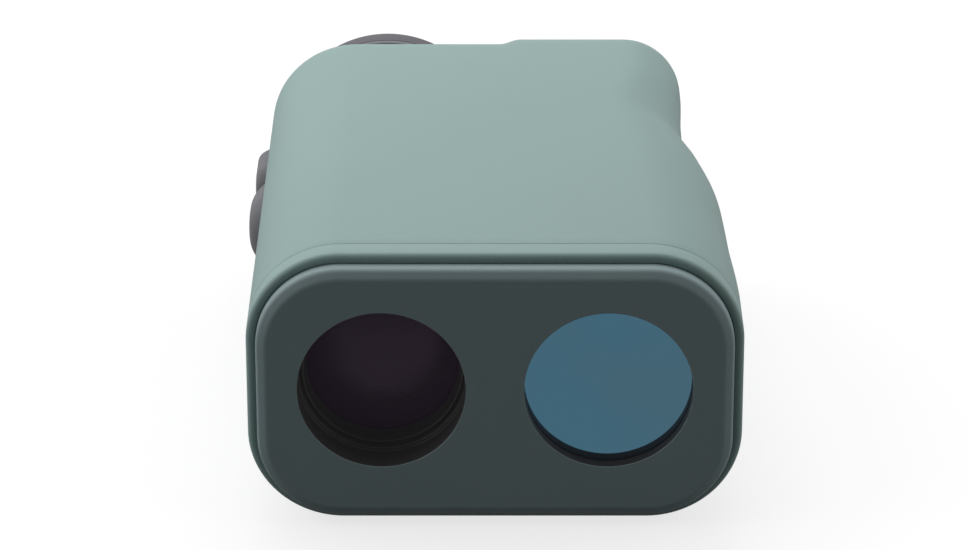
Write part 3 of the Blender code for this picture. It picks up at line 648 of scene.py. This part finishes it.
surface(
    "brass", colour=(0.64, 0.46, 0.19), rough=0.28, metal=1.0, mottle=(250.0, 0.07),
    bump=(2600.0, 0.4, 0.004), stretch=(0.15, 1.0, 1.0),
)
surface(
    "switch_plastic", colour=(0.6, 0.6, 0.57), rough=0.45, mottle=(400.0, 0.05),
    bump=(3600.0, 0.4, 0.01),
)
# the objective and window glasses give off faint painted light
optic(
    "objective_glass", tint=(0.95, 0.62, 1.0), reflect=0.09, rough=0.22, see_through=0.5,
    body=(0.19, 0.155, 0.185), painted_glow=(0.0042, 0.0026, 0.0052),
)
optic(
    "window_glass", tint=(0.133, 0.305, 0.415), reflect=0.5, rough=0.05, see_through=0.0,
    painted_glow=(0.0062, 0.0050, 0.0050),
)
optic(
    "optical_glass", tint=(0.75, 0.95, 0.85), reflect=0.35, rough=0.01, see_through=1.0,
    body=(0.86, 0.93, 0.92),
)
optic(
    "filter_glass", tint=(0.7, 0.1, 0.16), reflect=0.5, rough=0.03, see_through=0.6,
    body=(0.2, 0.02, 0.05),
)
banded(
    "capacitor_sleeve", bands=((0.0, (0.03, 0.05, 0.16)), (0.9, (0.6, 0.6, 0.62))),
    axis="Z", ends=(5.6, 14.0), rough=0.3, metal=0.6,
)
BARE_CAN, BLACK_PRINT = (0.62, 0.62, 0.63), (0.02, 0.02, 0.022)
banded(
    "battery_can",
    bands=(
        (0.0, BARE_CAN), (0.07, BLACK_PRINT), (0.62, (0.55, 0.28, 0.03)),
        (0.68, BLACK_PRINT), (0.93, BARE_CAN),
    ),
    axis="Y", ends=(CELL_LOW.y, CELL_HIGH.y), rough=0.4, metal=0.2,
)


def stand_for(obj, cad_name):
    """The piece takes its body, finish and place from the CAD node it stands for."""
    slot_name = SLOT_OF[cad_name]
    obj.data.materials.clear()
    obj.data.materials.append(FINISH[slot_name])
    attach(obj, BODY_OF[cad_name])
    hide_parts(cad_name)


def turned(
    name, cad_name, centre, profile, rounding=0.15, corner_steps=3, steps=128, axis="Y"
):
    """Turned piece with its profile's corners rounded."""
    profile = fillet(profile, rounding, corner_steps, closed=profile[0][0] > 0)
    stand_for(lathe(name, centre, profile, axis, steps), cad_name)


# ---------------------------------------------------------------- casing form
# x of the points across the flat top, from the +X side to the key side
FLATS = (
    14.0, 10.0, 7.5, 6.0, 5.0, 4.1, 3.7, 3.3, 2.9, 2.45, 2.05, 1.65, 1.2, 0.8,
    -2.0, -5.0, -8.0, -12.0, -16.0,
)
STATION_STEP = 2.4


def lobe_shift(x, y):
    return LOBE_STEP * smooth((x - 0.8) / 3.3) * smooth((y - 25) / 16)


def half_section(y, inset, inset_key, corner=18):
    """(x, z) outline of the upper half, from the +X side over the top to the key side."""
    right, left, top = along(GRIP, y), -HALF_WIDTH, THICK
    right_r = CORNER_R + (LOBE_R - CORNER_R) * smooth((y - 5) / 28)
    quarter = [math.radians(90 * k / corner) for k in range(corner + 1)]
    points = [(right - inset, MID)]
    for turn in quarter:
        reach = right_r - inset
        points.append(
            (right - right_r + reach * math.cos(turn), top - right_r + reach * math.sin(turn))
        )
    start, end = points[-1][0], left + CORNER_R
    for x in FLATS:
        points.append((min(max(x, end + 0.3), start - 0.3), top - inset))
    for k in range(corner + 1):
        turn = math.radians(90 + 90 * k / corner)
        points.append((
            left + CORNER_R + (CORNER_R - inset_key) * math.cos(turn),
            top - CORNER_R + (CORNER_R - inset) * math.sin(turn),
        ))
    points.append((left + inset_key, MID))
    return points


# a station is a y, or ("arc", degrees) on the rear rounding
STATIONS = [
    FRONT_Y + STATION_STEP * k for k in range(1, int((DOME_Y - FRONT_Y) / STATION_STEP) + 1)
]
STATIONS = [FRONT_Y] + [y for y in STATIONS if y < DOME_Y - 0.5] + [DOME_Y]
ARC = [("arc", 90 * k / 14) for k in range(1, 15)]


def form_ring(station, wall=0.0):
    """(x, y, z) points of one ring of the upper half, set in by the wall."""
    if isinstance(station, tuple):
        turn = math.radians(station[1])
        y = DOME_Y + (REAR_R - wall) * math.sin(turn)
        inset = wall + (REAR_R - wall) * (1 - math.cos(turn))
        shape_y = DOME_Y + REAR_R * math.sin(turn)
    else:
        y, inset, shape_y = station, wall, station
    key_r = REAR_R_KEY - wall
    t = min(max((y - (REAR_Y - wall) + key_r) / key_r, 0.0), 1.0)
    inset_key = wall + key_r * (1 - math.sqrt(1 - t * t))
    points = half_section(shape_y, inset, inset_key)
    return [(x, y + lobe_shift(x, shape_y), z) for x, z in points]


def bowl(form, wall, upper):
    """Vertices of an open half form in a fixed order, and the corner lists of its faces."""
    order = []

    def vertex(x, y, z):
        order.append(form.verts.new(Vector((x, y, z if upper else THICK - z)) * MM))
        return order[-1]

    foot_z = MID + HALF_GAP
    rings = [form_ring(station, wall) for station in STATIONS + ARC]
    rows = [[vertex(x, y, max(z, foot_z)) for x, y, z in ring] for ring in rings]
    last = rows[-1]
    foot = [vertex(x, y, foot_z) for x, y, _ in rings[-1][2:-2]]
    rows.append([last[0]] * 2 + foot + [last[-1]] * 2)
    return order, list(strips(rows, wrap=False))


RIM_ROUND = 0.22


def half_shell(name, upper):
    """Wall of one half, with its rims rounded."""
    form = bmesh.new()
    outer, outer_faces = bowl(form, 0.0, upper)
    inner, inner_faces = bowl(form, WALL, upper)
    partner = dict(zip(outer, inner))
    side = 1 if upper else -1
    add_faces(form, outer_faces)
    bmesh.ops.recalc_face_normals(form, faces=form.faces)
    form.normal_update()
    outermost = max(form.faces, key=lambda face: face.calc_center_median().z * side)
    if (outermost.normal.z > 0) != upper:
        bmesh.ops.reverse_faces(form, faces=form.faces)
        form.normal_update()

    # each rim vertex with its place, its way off the rim's plane and its normal in that plane
    foot_z = (MID + HALF_GAP * side) * MM
    front_y = FRONT_Y * MM
    loose = [edge for edge in form.edges if len(edge.link_faces) == 1]
    rims = {}
    for vert in {vert for edge in loose for vert in edge.verts}:
        inward = Vector((0, 0, 0))
        normal = vert.normal.copy()
        if abs(vert.co.z - foot_z) < 1e-6:
            inward.z = side
            normal.z = 0
        if abs(vert.co.y - front_y) < 1e-6:
            inward.y = 1
            normal.y = 0
        normal.normalize()
        rims[vert] = (vert.co.copy(), inward, normal)
    steps = []
    for degrees in (30, 60, 90):
        turn = math.radians(degrees)
        made = {}
        for vert, (spot, inward, normal) in rims.items():
            move = inward * (1 - math.sin(turn)) - normal * (1 - math.cos(turn))
            made[vert] = form.verts.new(spot + move * RIM_ROUND * MM)
        steps.append(made)
    for vert, (spot, inward, normal) in rims.items():
        vert.co = spot + inward * RIM_ROUND * MM

    # faces from the outer skin round the rim to the inner skin
    for edge in loose:
        start, end = edge.verts
        corners = [loop.vert for loop in edge.link_faces[0].loops]
        if corners[(corners.index(start) + 1) % len(corners)] is end:
            start, end = end, start
        chains = [
            [vert] + [step[vert] for step in steps] + [partner[vert]] for vert in (start, end)
        ]
        add_faces(form, strips(list(zip(*chains)), wrap=False))
    add_faces(form, inner_faces)
    return object_from(name, form)


upper_shell = half_shell("casing_side_upper", True)
lower_shell = half_shell("casing_side_lower", False)
SHELLS = (upper_shell, lower_shell)

# ---------------------------------------------------------------- eyepiece boss and bore
BOSS_START, BOSS_R, BORE_R = 42.2, 17.9, 15.4
HALF_SPACES = ((upper_shell, (MID + HALF_GAP, 60.0)), (lower_shell, (-16.0, MID - HALF_GAP)))
for shell, z_span in HALF_SPACES:
    profile = [(0, BOSS_START), (BOSS_R, BOSS_START), (BOSS_R, BOSS_END), (0, BOSS_END)]
    profile = fillet(profile, 0.7, 5, closed=False)
    boss = lathe(shell.name + "_boss", EYE, profile, steps=128)
    boolean(boss, cuboid(shell.name + "_half", (-60, 30), (30, 60), z_span), "INTERSECT")
    boolean(shell, boss, "UNION")
    mouth = (BOSS_END, 0.3, 0.3)
    boolean(shell, rod(shell.name + "_bore", "Y", EYE, 41.0, 51.0, BORE_R, 128, mouth))

# ---------------------------------------------------------------- screw bosses and their holes
SCREW_BOSS_R, SCREW_HOLE_R = 2.5, 1.35
# shell, operation, name, lowest z, highest z, radius, steps, flare
SCREW_RODS = (
    (lower_shell, "UNION", "lower_boss", 1.2, MID - 0.4, SCREW_BOSS_R, 40, None),
    (lower_shell, "DIFFERENCE", "screw_pocket", -1.0, 3.2, 2.2, 48, (0.0, 0.25, 0.25)),
    (lower_shell, "DIFFERENCE", "screw_way", 2.0, 23.0, SCREW_HOLE_R, 32, None),
    (upper_shell, "UNION", "upper_boss", MID + 0.4, THICK - 1.2, SCREW_BOSS_R, 40, None),
    (upper_shell, "DIFFERENCE", "screw_thread", 20.0, 28.5, SCREW_HOLE_R, 32, None),
)
for n, centre in enumerate(SCREWS, 1):
    for shell, operation, name, *shape in SCREW_RODS:
        boolean(shell, rod(f"{name}_{n}", "Z", centre, *shape), operation)

# ---------------------------------------------------------------- key openings
KEY_LIP = 0.8  # the flange inside the casing, beyond the key's outline
KEY_GAP = 0.3
KEYS = []  # CAD name, piece name, y span, half width, how far proud, bluntness of the dome
for cad_name, name, dome in (("measure_button", "measure_key", 3.2), ("mode_button", "mode_key", 5.5)):
    low, high = cad(cad_name)
    span = (low.y + KEY_LIP, high.y - KEY_LIP)
    half = (high.z - low.z) / 2 - KEY_LIP
    KEYS.append((cad_name, name, span, half, -HALF_WIDTH - low.x, dome))


def key_rings(span, half, profile):
    """A key's outline at each (x, growth) of a profile."""
    rings = []
    for x, grow in profile:
        shape = rounded(
            span[0] - grow, span[1] + grow, MID - half - grow, MID + half + grow, half + grow, 20
        )
        rings.append([(x, y, z) for y, z in shape])
    return rings


# (x, growth beyond the gap), widening to a rounded mouth
SLOT_PROFILE = (
    (-33.0, 0.0), (-HALF_WIDTH + 0.35, 0.0), (-HALF_WIDTH + 0.12, 0.06), (-HALF_WIDTH, 0.25),
    (-HALF_WIDTH - 0.3, 0.7), (-42.0, 0.7),
)
for cad_name, _, span, half, _, _ in KEYS:
    for shell in SHELLS:
        rings = key_rings(span, half, [(x, KEY_GAP + grow) for x, grow in SLOT_PROFILE])
        boolean(shell, loft(f"{shell.name}_{cad_name}_slot", rings))

# ---------------------------------------------------------------- tripod opening
for shell in SHELLS:
    mouth = (along(GRIP, TRIPOD[0]), 0.2, 0.2)
    boolean(shell, rod(shell.name + "_tripod", "X", TRIPOD, 32.5, 38.0, 4.9, 64, mouth))

# ---------------------------------------------------------------- battery door opening
DOOR_X = (5.9, 24.6)
DOOR_Z = (DOOR_LOW.z, DOOR_HIGH.z)
DOOR_GAP = 0.3
HINGE_R = 2.2
HINGE_GAP = 0.35
PIN_HOLE_R = 0.9
cut_z = (DOOR_Z[0] - DOOR_GAP, DOOR_Z[1] + DOOR_GAP)
for shell, ear_z in ((lower_shell, (8.0, cut_z[0] + 2)), (upper_shell, (cut_z[1] - 2, THICK - 8.0))):
    ear = cuboid(shell.name + "_ear", (PIN[0] - 1.8, PIN[0] + 1.8), (46.4, 49.2), ear_z)
    boolean(shell, ear, "UNION")
    shape = rounded(PIN[0] - 0.5, DOOR_X[1] + DOOR_GAP, *cut_z, 4.5, 16)
    boolean(shell, loft(shell.name + "_recess", [at_y(shape, y) for y in (45.6, 54.0)]))
    groove_x = (PIN[0] - HINGE_R - HINGE_GAP, DOOR_X[0] + 6)
    boolean(shell, cuboid(shell.name + "_groove", groove_x, (PIN[1], 54), cut_z))
    boolean(shell, rod(shell.name + "_socket", "Z", PIN, *cut_z, HINGE_R + HINGE_GAP, 48))
    boolean(shell, rod(shell.name + "_pin_hole", "Z", PIN, 9.3, THICK - 9.3, PIN_HOLE_R, 24))

for shell, cad_name in ((upper_shell, "left_side_shell"), (lower_shell, "right_side_shell")):
    settle(shell, angle=30)
    stand_for(shell, cad_name)


# ---------------------------------------------------------------- front bezel
def full_section(y, inset):
    outline = rounded(
        -HALF_WIDTH + inset, HALF_WIDTH - inset, inset, THICK - inset, CORNER_R - inset, 28
    )
    return at_y(outline, y)


BEZEL_ROUND = 0.95
BEZEL_SEAT_Y = -43.9
bezel_back = BEZEL_HIGH.y + 0.17
# (y, inset)
profile = [(bezel_back, 0.12), (bezel_back - 0.03, 0.03), (bezel_back - 0.12, 0.0)]
for k in range(10):
    turn = math.radians(90 * k / 9)
    front = BAND_Y + BEZEL_ROUND - BEZEL_ROUND * math.sin(turn)
    profile.append((front, BEZEL_ROUND * (1 - math.cos(turn))))
profile += [
    (BAND_Y + 0.01, 1.3), (BAND_Y + 0.04, 1.37), (BAND_Y + 0.12, 1.4),
    (BEZEL_SEAT_Y, 1.4), (BEZEL_SEAT_Y, 5.0), (bezel_back, 5.0),
]
bezel = loft("bezel_ring", [full_section(y, inset) for y, inset in profile], loop=True)
stand_for(bezel, "front_bezel")

# ---------------------------------------------------------------- front plate
PLATE_INSET = 1.5
RIM_R, FACE_R = 1.04, 1.42  # the rim turns into a shallow bevel, which turns into the face
FACE_TURN_INSET = 1.12  # where the bevel meets the second turn
rim = [(2.1, 0.0), (1.5, 0.0)]  # (depth behind the face, inset from the plate's edge)
for k in range(1, 11):
    turn = math.radians(5.8 * k)
    rim.append((1.44 - RIM_R * math.sin(turn), RIM_R * (1 - math.cos(turn))))
rim.append(((rim[-1][0] + 0.19) / 2, (rim[-1][1] + FACE_TURN_INSET) / 2))
for k in range(9):
    turn = math.radians(60 + 30 * k / 8)
    rim.append((FACE_R * (1 - math.sin(turn)), FACE_TURN_INSET + FACE_R * (0.5 - math.cos(turn))))
profile = [(PANEL_HIGH.y, 1.9), (PANEL_HIGH.y, PLATE_INSET)]
profile += [(FACE_Y + behind, PLATE_INSET + grow) for behind, grow in rim]
panel = loft("front_plate", [full_section(y, inset) for y, inset in profile])
for centre, name in ((OBJECTIVE, "objective"), (RECEIVER, "receiver")):
    mouth = (FACE_Y, 0.16, 0.16)
    boolean(panel, rod("opening_" + name, "Y", centre, -52, -40, APERTURE_R, 160, mouth))
for name, centre, front, radius in (
    ("window", RECEIVER, WINDOW_LOW.y, 13.95), ("objective", OBJECTIVE, OBJECTIVE_FRONT, 14.45),
):
    boolean(panel, rod(name + "_counterbore", "Y", centre, front - 0.35, -40, radius, 96))
settle(panel, angle=30)
weigh_normals(panel)
stand_for(panel, "front_panel")
panel.data.materials.append(FINISH["black_plastic"])  # the openings' walls take the black finish, painted shade in the openings
for face in panel.data.polygons:
    spot = face.center / MM
    reach = min(math.hypot(spot.x - x, spot.z - z) for x, z in (OBJECTIVE, RECEIVER))
    if abs(face.normal.y) < 0.3 and reach < APERTURE_R + 0.03:
        face.material_index = 1


# ---------------------------------------------------------------- viewing objective
def lens(name, cad_name, centre, radius, front, rear, sag_front, sag_rear):
    """Lens between its two edge planes, each face bulging outwards by its sag; edges ground."""
    ground = 0.25
    shares = [k / 16 for k in range(17)]
    flat = radius - ground
    points = [(flat * share, front - sag_front * (1 - share**2)) for share in shares]
    points += [(radius, front + ground), (radius, rear - ground)]
    points += [(flat * share, rear + sag_rear * (1 - share**2)) for share in shares[::-1]]
    stand_for(lathe(name, centre, points, steps=128), cad_name)


profile = [
    (14.1, OBJECTIVE_FRONT), (14.1, -32.0), (12.7, -30.5), (12.7, -13.0), (10.6, -13.0),
    (10.6, -31.4), (12.35, -31.4), (12.35, -42.7), (12.9, -42.7), (12.9, OBJECTIVE_FRONT),
]
turned("objective_tube", "objective_barrel", OBJECTIVE, profile, rounding=0.25, steps=144)
profile = [(12.05, -41.6), (12.05, -38.0), (11.4, -38.0), (11.4, -40.6), (11.75, -41.6)]
turned("objective_lock_ring", "objective_retaining_ring", OBJECTIVE, profile, steps=144)
lens(
    "objective_lens_front", "objective_front_element", OBJECTIVE,
    radius=12.05, front=-37.6, rear=-35.2, sag_front=1.7, sag_rear=1.3,
)
lens(
    "objective_lens_rear", "objective_rear_element", OBJECTIVE,
    radius=12.05, front=-33.4, rear=-31.8, sag_front=-1.2, sag_rear=0.4,
)

# ---------------------------------------------------------------- receiver
profile = [
    (13.6, RECEIVER_FRONT), (13.6, -27.5), (8.2, -3.0), (8.2, 1.0), (6.8, 1.0), (6.8, -4.0),
    (11.4, -26.0), (11.4, -33.9), (12.9, -33.9), (12.9, RECEIVER_FRONT),
]
turned("receiver_tube", "receiver_barrel", RECEIVER, profile, rounding=0.25, steps=144)

# the window's faces stay flat up to a narrow ground edge
WINDOW_R = 12.6
front, rear = WINDOW_LOW.y, WINDOW_HIGH.y
near = [
    (0, front), (WINDOW_R * 0.6, front), (WINDOW_R - 0.13, front), (WINDOW_R - 0.07, front),
    (WINDOW_R - 0.02, front + 0.03), (WINDOW_R, front + 0.1),
]
profile = near + [(radius, front + rear - y) for radius, y in near[::-1]]
stand_for(lathe("receiver_glass", RECEIVER, profile, steps=144), "receiver_window")

profile = [(12.55, LOCK_LOW.y), (12.55, LOCK_HIGH.y), (11.6, LOCK_HIGH.y), (11.6, LOCK_LOW.y)]
turned("window_lock_ring", "window_retaining_ring", RECEIVER, profile)
lens(
    "receiver_collector", "receiver_lens", RECEIVER,
    radius=12.5, front=-36.2, rear=-34.2, sag_front=1.0, sag_rear=0.0,
)

# ---------------------------------------------------------------- eyepiece
profile = [
    (10.9, 26.4), (11.9, 26.4), (11.9, 44.2), (15.1, 44.9), (15.1, BOSS_END), (13.2, BOSS_END),
    (13.2, 53.2), (10.9, 53.2),
]
turned("eyepiece_tube", "eyepiece_sleeve", EYE, profile, rounding=0.2)
profile = [
    (10.6, 28.4), (10.6, 51.4), (8.0, 51.4), (8.0, 50.7), (9.3, 50.7), (9.3, 31.0), (8.2, 31.0),
    (8.2, 28.4),
]
turned("eyepiece_lens_cell", "eyepiece_cell", EYE, profile)
lens(
    "eyepiece_field_lens", "field_lens", EYE,
    radius=9.0, front=33.4, rear=35.4, sag_front=1.6, sag_rear=0.4,
)
lens(
    "eyepiece_eye_lens", "eye_lens", EYE,
    radius=9.0, front=44.4, rear=46.6, sag_front=0.8, sag_rear=1.9,
)
profile = [(9.0, 49.3), (9.0, 50.3), (8.1, 50.3), (8.1, 49.3)]
turned(
    "eyepiece_lock_ring", "eyepiece_lens_retainer", EYE, profile,
    rounding=0.12, corner_steps=2, steps=96,
)
profile = [(14.9, 49.5), (13.6, 49.5), (13.6, 50.1), (14.9, 50.1)]
turned(
    "diopter_ring_seal", "diopter_seal", EYE, profile, rounding=0.25, corner_steps=4, steps=96
)

RIBS = 72
RIB_DEPTH = 0.3
RIB_FLOOR = 0.35  # the cosine is cut off below this, which flattens the grooves


def knurl(radius, y, angle):
    """Ribs round the ring's grip band, fading at both ends."""
    if radius < RING_R - 0.4:
        return 0.0
    fade = smooth((y - 50.0) / 0.35) * smooth((52.2 - y) / 0.35)
    rib = max(math.cos(angle * RIBS), -RIB_FLOOR)
    return -RIB_DEPTH * fade * (1 - (rib + RIB_FLOOR) / (1 + RIB_FLOOR))


profile = [(13.5, 50.4), (15.3, 50.4), (15.3, 49.5), (RING_R - 0.3, 49.5)]
profile = fillet(profile, 0.12, 3, closed=False)
profile += [(RING_R - 0.08, 49.58), (RING_R, 49.8)]
profile += [(RING_R, 49.95 + 0.225 * k) for k in range(11)]
profile += [
    (RING_R + 0.04, 52.36), (CUP_R - 0.1, 52.5), (CUP_R - 0.02, 52.66), (CUP_R - 0.01, 52.9),
    (CUP_R - 0.01, 53.5), (CUP_R - 0.07, 53.6), (13.5, 53.6),
]
grip_ring = lathe("diopter_grip_ring", EYE, profile, steps=RIBS * 8, relief=knurl, angle=50)
stand_for(grip_ring, "diopter_ring")

profile = [
    (11.4, 53.9), (13.0, 53.66), (CUP_R - 0.12, 53.66), (CUP_R, 53.78), (CUP_R, CUP_END - 0.9),
    (CUP_R - 0.6, CUP_END), (15.6, CUP_END), (14.8, CUP_END - 0.7), (13.2, 55.4), (11.4, 54.9),
]
turned("eyecup_rubber_ring", "eyecup", EYE, profile, rounding=0.5, corner_steps=5, steps=144)

# ---------------------------------------------------------------- keys
# (x, growth) of the flange inside the casing
FLANGE_PROFILE = [
    (-33.85, 0.6), (-33.93, 0.74), (-34.05, KEY_LIP), (-34.17, 0.74), (-34.25, 0.6), (-34.25, 0.0),
]
for cad_name, name, span, half, proud, dome in KEYS:
    profile = FLANGE_PROFILE + [(-HALF_WIDTH, 0.0)]
    for k in range(1, 22):
        rise = math.sin(math.radians(90 * k / 22))
        profile.append((-HALF_WIDTH - proud * rise, half * ((1 - rise) ** (1 / dome) - 1)))
    profile.append((-HALF_WIDTH - proud, -0.93 * half))
    stand_for(loft(name, key_rings(span, half, profile), angle=50), cad_name)


# ---------------------------------------------------------------- battery hatch
def hatch_outline(inset):
    return rounded(
        DOOR_X[0] - 1.0 + inset, DOOR_X[1] - inset, DOOR_Z[0] + inset, DOOR_Z[1] - inset,
        4.2 - inset, 20,
    )


rings = []
for station in STATIONS[-3:] + ARC:
    half_ring = form_ring(station)
    rings.append(half_ring + [(x, y, THICK - z) for x, y, z in half_ring[-2:0:-1]])
outer = loft("outer_form", rings)
hatch_front = DOOR_LOW.y if DOOR_LOW.y > 47 else 47.5
hatch_stations = ((hatch_front, 0.25), (47.75, 0.0), (54.0, 0.0))  # (y, inset)
door = loft("battery_hatch", [at_y(hatch_outline(inset), y) for y, inset in hatch_stations])
boolean(door, outer, "INTERSECT")
barrel = rod("hatch_barrel", "Z", PIN, *DOOR_Z, HINGE_R, 48)
barrel_y = (40, REAR_Y + LOBE_STEP - 0.1)
boolean(barrel, cuboid("hatch_barrel_top", (0, 12), barrel_y, (5, 40)), "INTERSECT")
boolean(door, barrel, "UNION")
boolean(door, rod("hatch_pin_way", "Z", PIN, 5, 40, PIN_HOLE_R, 24))
notch = (DOOR_X[1] + 1.6, 49.3)
boolean(door, rod("hatch_notch", "Z", notch, MID - 3.5, MID + 3.5, 2.1, 48))
settle(door, angle=35)
edge = door.modifiers.new("edge", "BEVEL")
edge.width = 0.12 * MM
edge.segments = 2
edge.limit_method = "ANGLE"
edge.angle_limit = math.radians(40)
edge.harden_normals = True
weigh_normals(door)
stand_for(door, "battery_door")

profile = [(0, 9.6), (0.6, 9.6), (0.6, THICK - 9.6), (0, THICK - 9.6)]
turned("hatch_pin", "battery_door_pin", PIN, profile, steps=32, axis="Z")

# ---------------------------------------------------------------- battery and its sleeve
SLEEVE_END = 45.2
profile = [
    (4.0, 16.8), (9.1, 16.8), (9.1, SLEEVE_END), (8.2, SLEEVE_END), (8.2, 17.7), (4.0, 17.7),
]
tube = lathe("battery_sleeve", CELL, fillet(profile, 0.15, 3), steps=96)
shape = rounded(5.4, 25.2, MID - 11.8, MID + 11.8, 6.4, 16)
flange = loft("sleeve_flange", [at_y(shape, y) for y in (43.7, SLEEVE_END)])
boolean(flange, rod("flange_bore", "Y", CELL, 42, 48, 8.7, 96))
boolean(tube, flange, "UNION")
settle(tube)
stand_for(tube, "battery_tube")

profile = [
    (0, CELL_LOW.y), (3.0, CELL_LOW.y), (3.0, 19.4), (7.0, 19.4), (7.0, 19.75), (7.4, 19.75),
    (7.8, 20.1), (7.8, 44.8), (7.4, 45.15), (6.9, 45.15), (6.9, CELL_HIGH.y), (0, CELL_HIGH.y),
]
turned("battery", "battery_cell", CELL, profile, rounding=0.2, steps=96)

# conical spring of two turns
SPRING_PITCH = 0.34
coil = []
for k in range(2 * 48 + 1):
    turn = 2 * math.pi * k / 48
    radius = 5.2 - 1.5 * k / 96
    y = 46.95 - SPRING_PITCH * turn / (2 * math.pi)
    coil.append((CELL[0] + radius * math.cos(turn), y, MID + radius * math.sin(turn)))
stand_for(wire("hatch_spring", coil, 0.13), "battery_spring")

# gasket of oval section round the cell's mouth
rings = []
for k in range(16):
    turn = 2 * math.pi * k / 16
    off = 0.5 * math.cos(turn)
    shape = rounded(7.9 - off, 23.7 + off, MID - 9.4 - off, MID + 9.4 + off, 3.8 + off, 14)
    rings.append(at_y(shape, 46.375 + 0.775 * math.sin(turn)))
stand_for(loft("hatch_gasket", rings, loop=True), "battery_door_gasket")

# ---------------------------------------------------------------- tripod socket
THREAD_START, THREAD_END, THREAD_PITCH = 36.1, 31.4, 1.27
profile = [
    (6.2, 30.9), (6.2, 33.4), (4.6, 33.4), (4.6, 36.2), (4.4, 36.4), (3.6, 36.4), (3.35, 36.15),
]
for k in range(int((THREAD_START - THREAD_END) / THREAD_PITCH * 2) + 1):
    profile.append((3.1 if k % 2 == 0 else 3.55, THREAD_START - 0.3 - k * THREAD_PITCH / 2))
profile.append((3.1, 30.9))
socket = lathe("tripod_socket", TRIPOD, profile, "X", 72, angle=20)
stand_for(socket, "tripod_insert")

# ---------------------------------------------------------------- casing screws
SCREW_HEAD = [(0, 1.2), (1.5, 1.2), (1.85, 1.55), (1.85, 2.8), (1.0, 2.8), (1.0, 10.9)]
HEX_SOCKET = [(0, 0.5), (0.85, 0.5), (0.85, 2.0), (0, 2.35)]
for n, centre in enumerate(SCREWS, 1):
    profile = fillet(SCREW_HEAD, 0.12, 2, closed=False)
    profile += [(1.0 if k % 2 else 0.82, 11.2 + 0.48 * k) for k in range(34)]
    profile += [(0.6, 27.8), (0, 27.8)]
    screw = lathe(f"casing_screw_{n}", centre, profile, "Z", 36, angle=40)
    boolean(screw, lathe(f"hex_{n}", centre, HEX_SOCKET, "Z", 6))
    settle(screw, angle=40)
    stand_for(screw, f"housing_screw_{n}")

# every CAD node that still shows takes the finish of its slot
for name, obj in ALL_NODES.items():
    if not obj.hide_render:
        obj.data.materials.clear()
        obj.data.materials.append(FINISH[SLOT_OF[name]])

# the pieces move to the scene's own collection
for obj in list(WORK.objects):
    scene.collection.objects.link(obj)
    WORK.objects.unlink(obj)
bpy.data.collections.remove(WORK)

# ---------------------------------------------------------------- floor
WHITE = (1, 1, 1, 1)
form = bmesh.new()
bmesh.ops.create_grid(form, x_segments=8, y_segments=8, size=6.0)
for vert in form.verts:
    vert.co.z = -0.00015  # metres, just under the resting face
floor_mesh = bpy.data.meshes.new("floor")
form.to_mesh(floor_mesh)
form.free()
floor = bpy.data.objects.new("floor", floor_mesh)
scene.collection.objects.link(floor)


def diffuse(tree, grey):
    colour = (grey, grey, grey, 1)
    return node(tree, "ShaderNodeBsdfDiffuse", {"Color": colour}).outputs[0]


def white_light(tree, kind, strength):
    return node(tree, kind, {"Color": WHITE, "Strength": strength}).outputs[0]


def either(tree, factor, first, second):
    return node(tree, "ShaderNodeMixShader", {0: factor, 1: first, 2: second}).outputs[0]


# pale to the camera, dim as a source of light, grey in reflections
paper = bpy.data.materials.new("floor_paper")
paper.use_nodes = True
tree = paper.node_tree
tree.nodes.clear()
rays = node(tree, "ShaderNodeLightPath").outputs
seen = node(
    tree, "ShaderNodeAddShader",
    {0: diffuse(tree, grey=0.26), 1: white_light(tree, "ShaderNodeEmission", strength=0.74)},
).outputs[0]
dim = diffuse(tree, grey=0.05)
reflected = white_light(tree, "ShaderNodeEmission", strength=0.4)
unseen = either(tree, rays["Is Glossy Ray"], dim, reflected)
both = either(tree, rays["Is Camera Ray"], unseen, seen)
node(tree, "ShaderNodeOutputMaterial", {"Surface": both})
floor_mesh.materials.append(paper)

# ---------------------------------------------------------------- light
# soft patches of light: direction towards, tightness, strength
LOBES = (
    ((-0.05, 0.5, 0.87), 14.0, 4.0),
    ((-1.0, 0.3, 0.4), 4.0, 2.8),
    ((1.0, 0.25, 0.2), 4.0, 2.2),
    ((0.0, 1.0, 0.1), 3.0, 0.3),
)
AMBIENT = 0.095

world = bpy.data.worlds.new("studio")
scene.world = world
world.use_nodes = True
tree = world.node_tree
tree.nodes.clear()
direction = node(tree, "ShaderNodeTexCoord").outputs["Generated"]
total = None
for towards, tightness, strength in LOBES:
    inputs = {0: direction, 1: tuple(Vector(towards).normalized())}
    facing = node(tree, "ShaderNodeVectorMath", inputs, operation="DOT_PRODUCT").outputs["Value"]
    patch = maths(tree, "POWER", maths(tree, "MAXIMUM", facing, 0.0), tightness)
    patch = maths(tree, "MULTIPLY", patch, strength)
    total = patch if total is None else maths(tree, "ADD", total, patch)
total = maths(tree, "ADD", total, AMBIENT)
rays = node(tree, "ShaderNodeLightPath").outputs
lit = white_light(tree, "ShaderNodeBackground", total)
plain = white_light(tree, "ShaderNodeBackground", strength=1.0)  # what the camera sees
both = either(tree, rays["Is Camera Ray"], lit, plain)
node(tree, "ShaderNodeOutputWorld", {"Surface": both})

# ---------------------------------------------------------------- camera, in metres
camera_data = bpy.data.cameras.new("camera")
camera_data.sensor_width = 36.0
camera_data.lens = 155.9
camera_data.shift_x = -0.0061349693
camera_data.clip_start = 0.01
camera_data.clip_end = 30
camera = bpy.data.objects.new("camera", camera_data)
scene.collection.objects.link(camera)
camera.location = (0.0, -0.6113, 0.28765)
camera.rotation_euler = (math.radians(66.3), 0, 0)
scene.camera = camera
scene.view_settings.view_transform = "Standard"
scene.view_settings.look = "None"
scene.view_settings.exposure = 0.0
scene.view_settings.gamma = 1.0
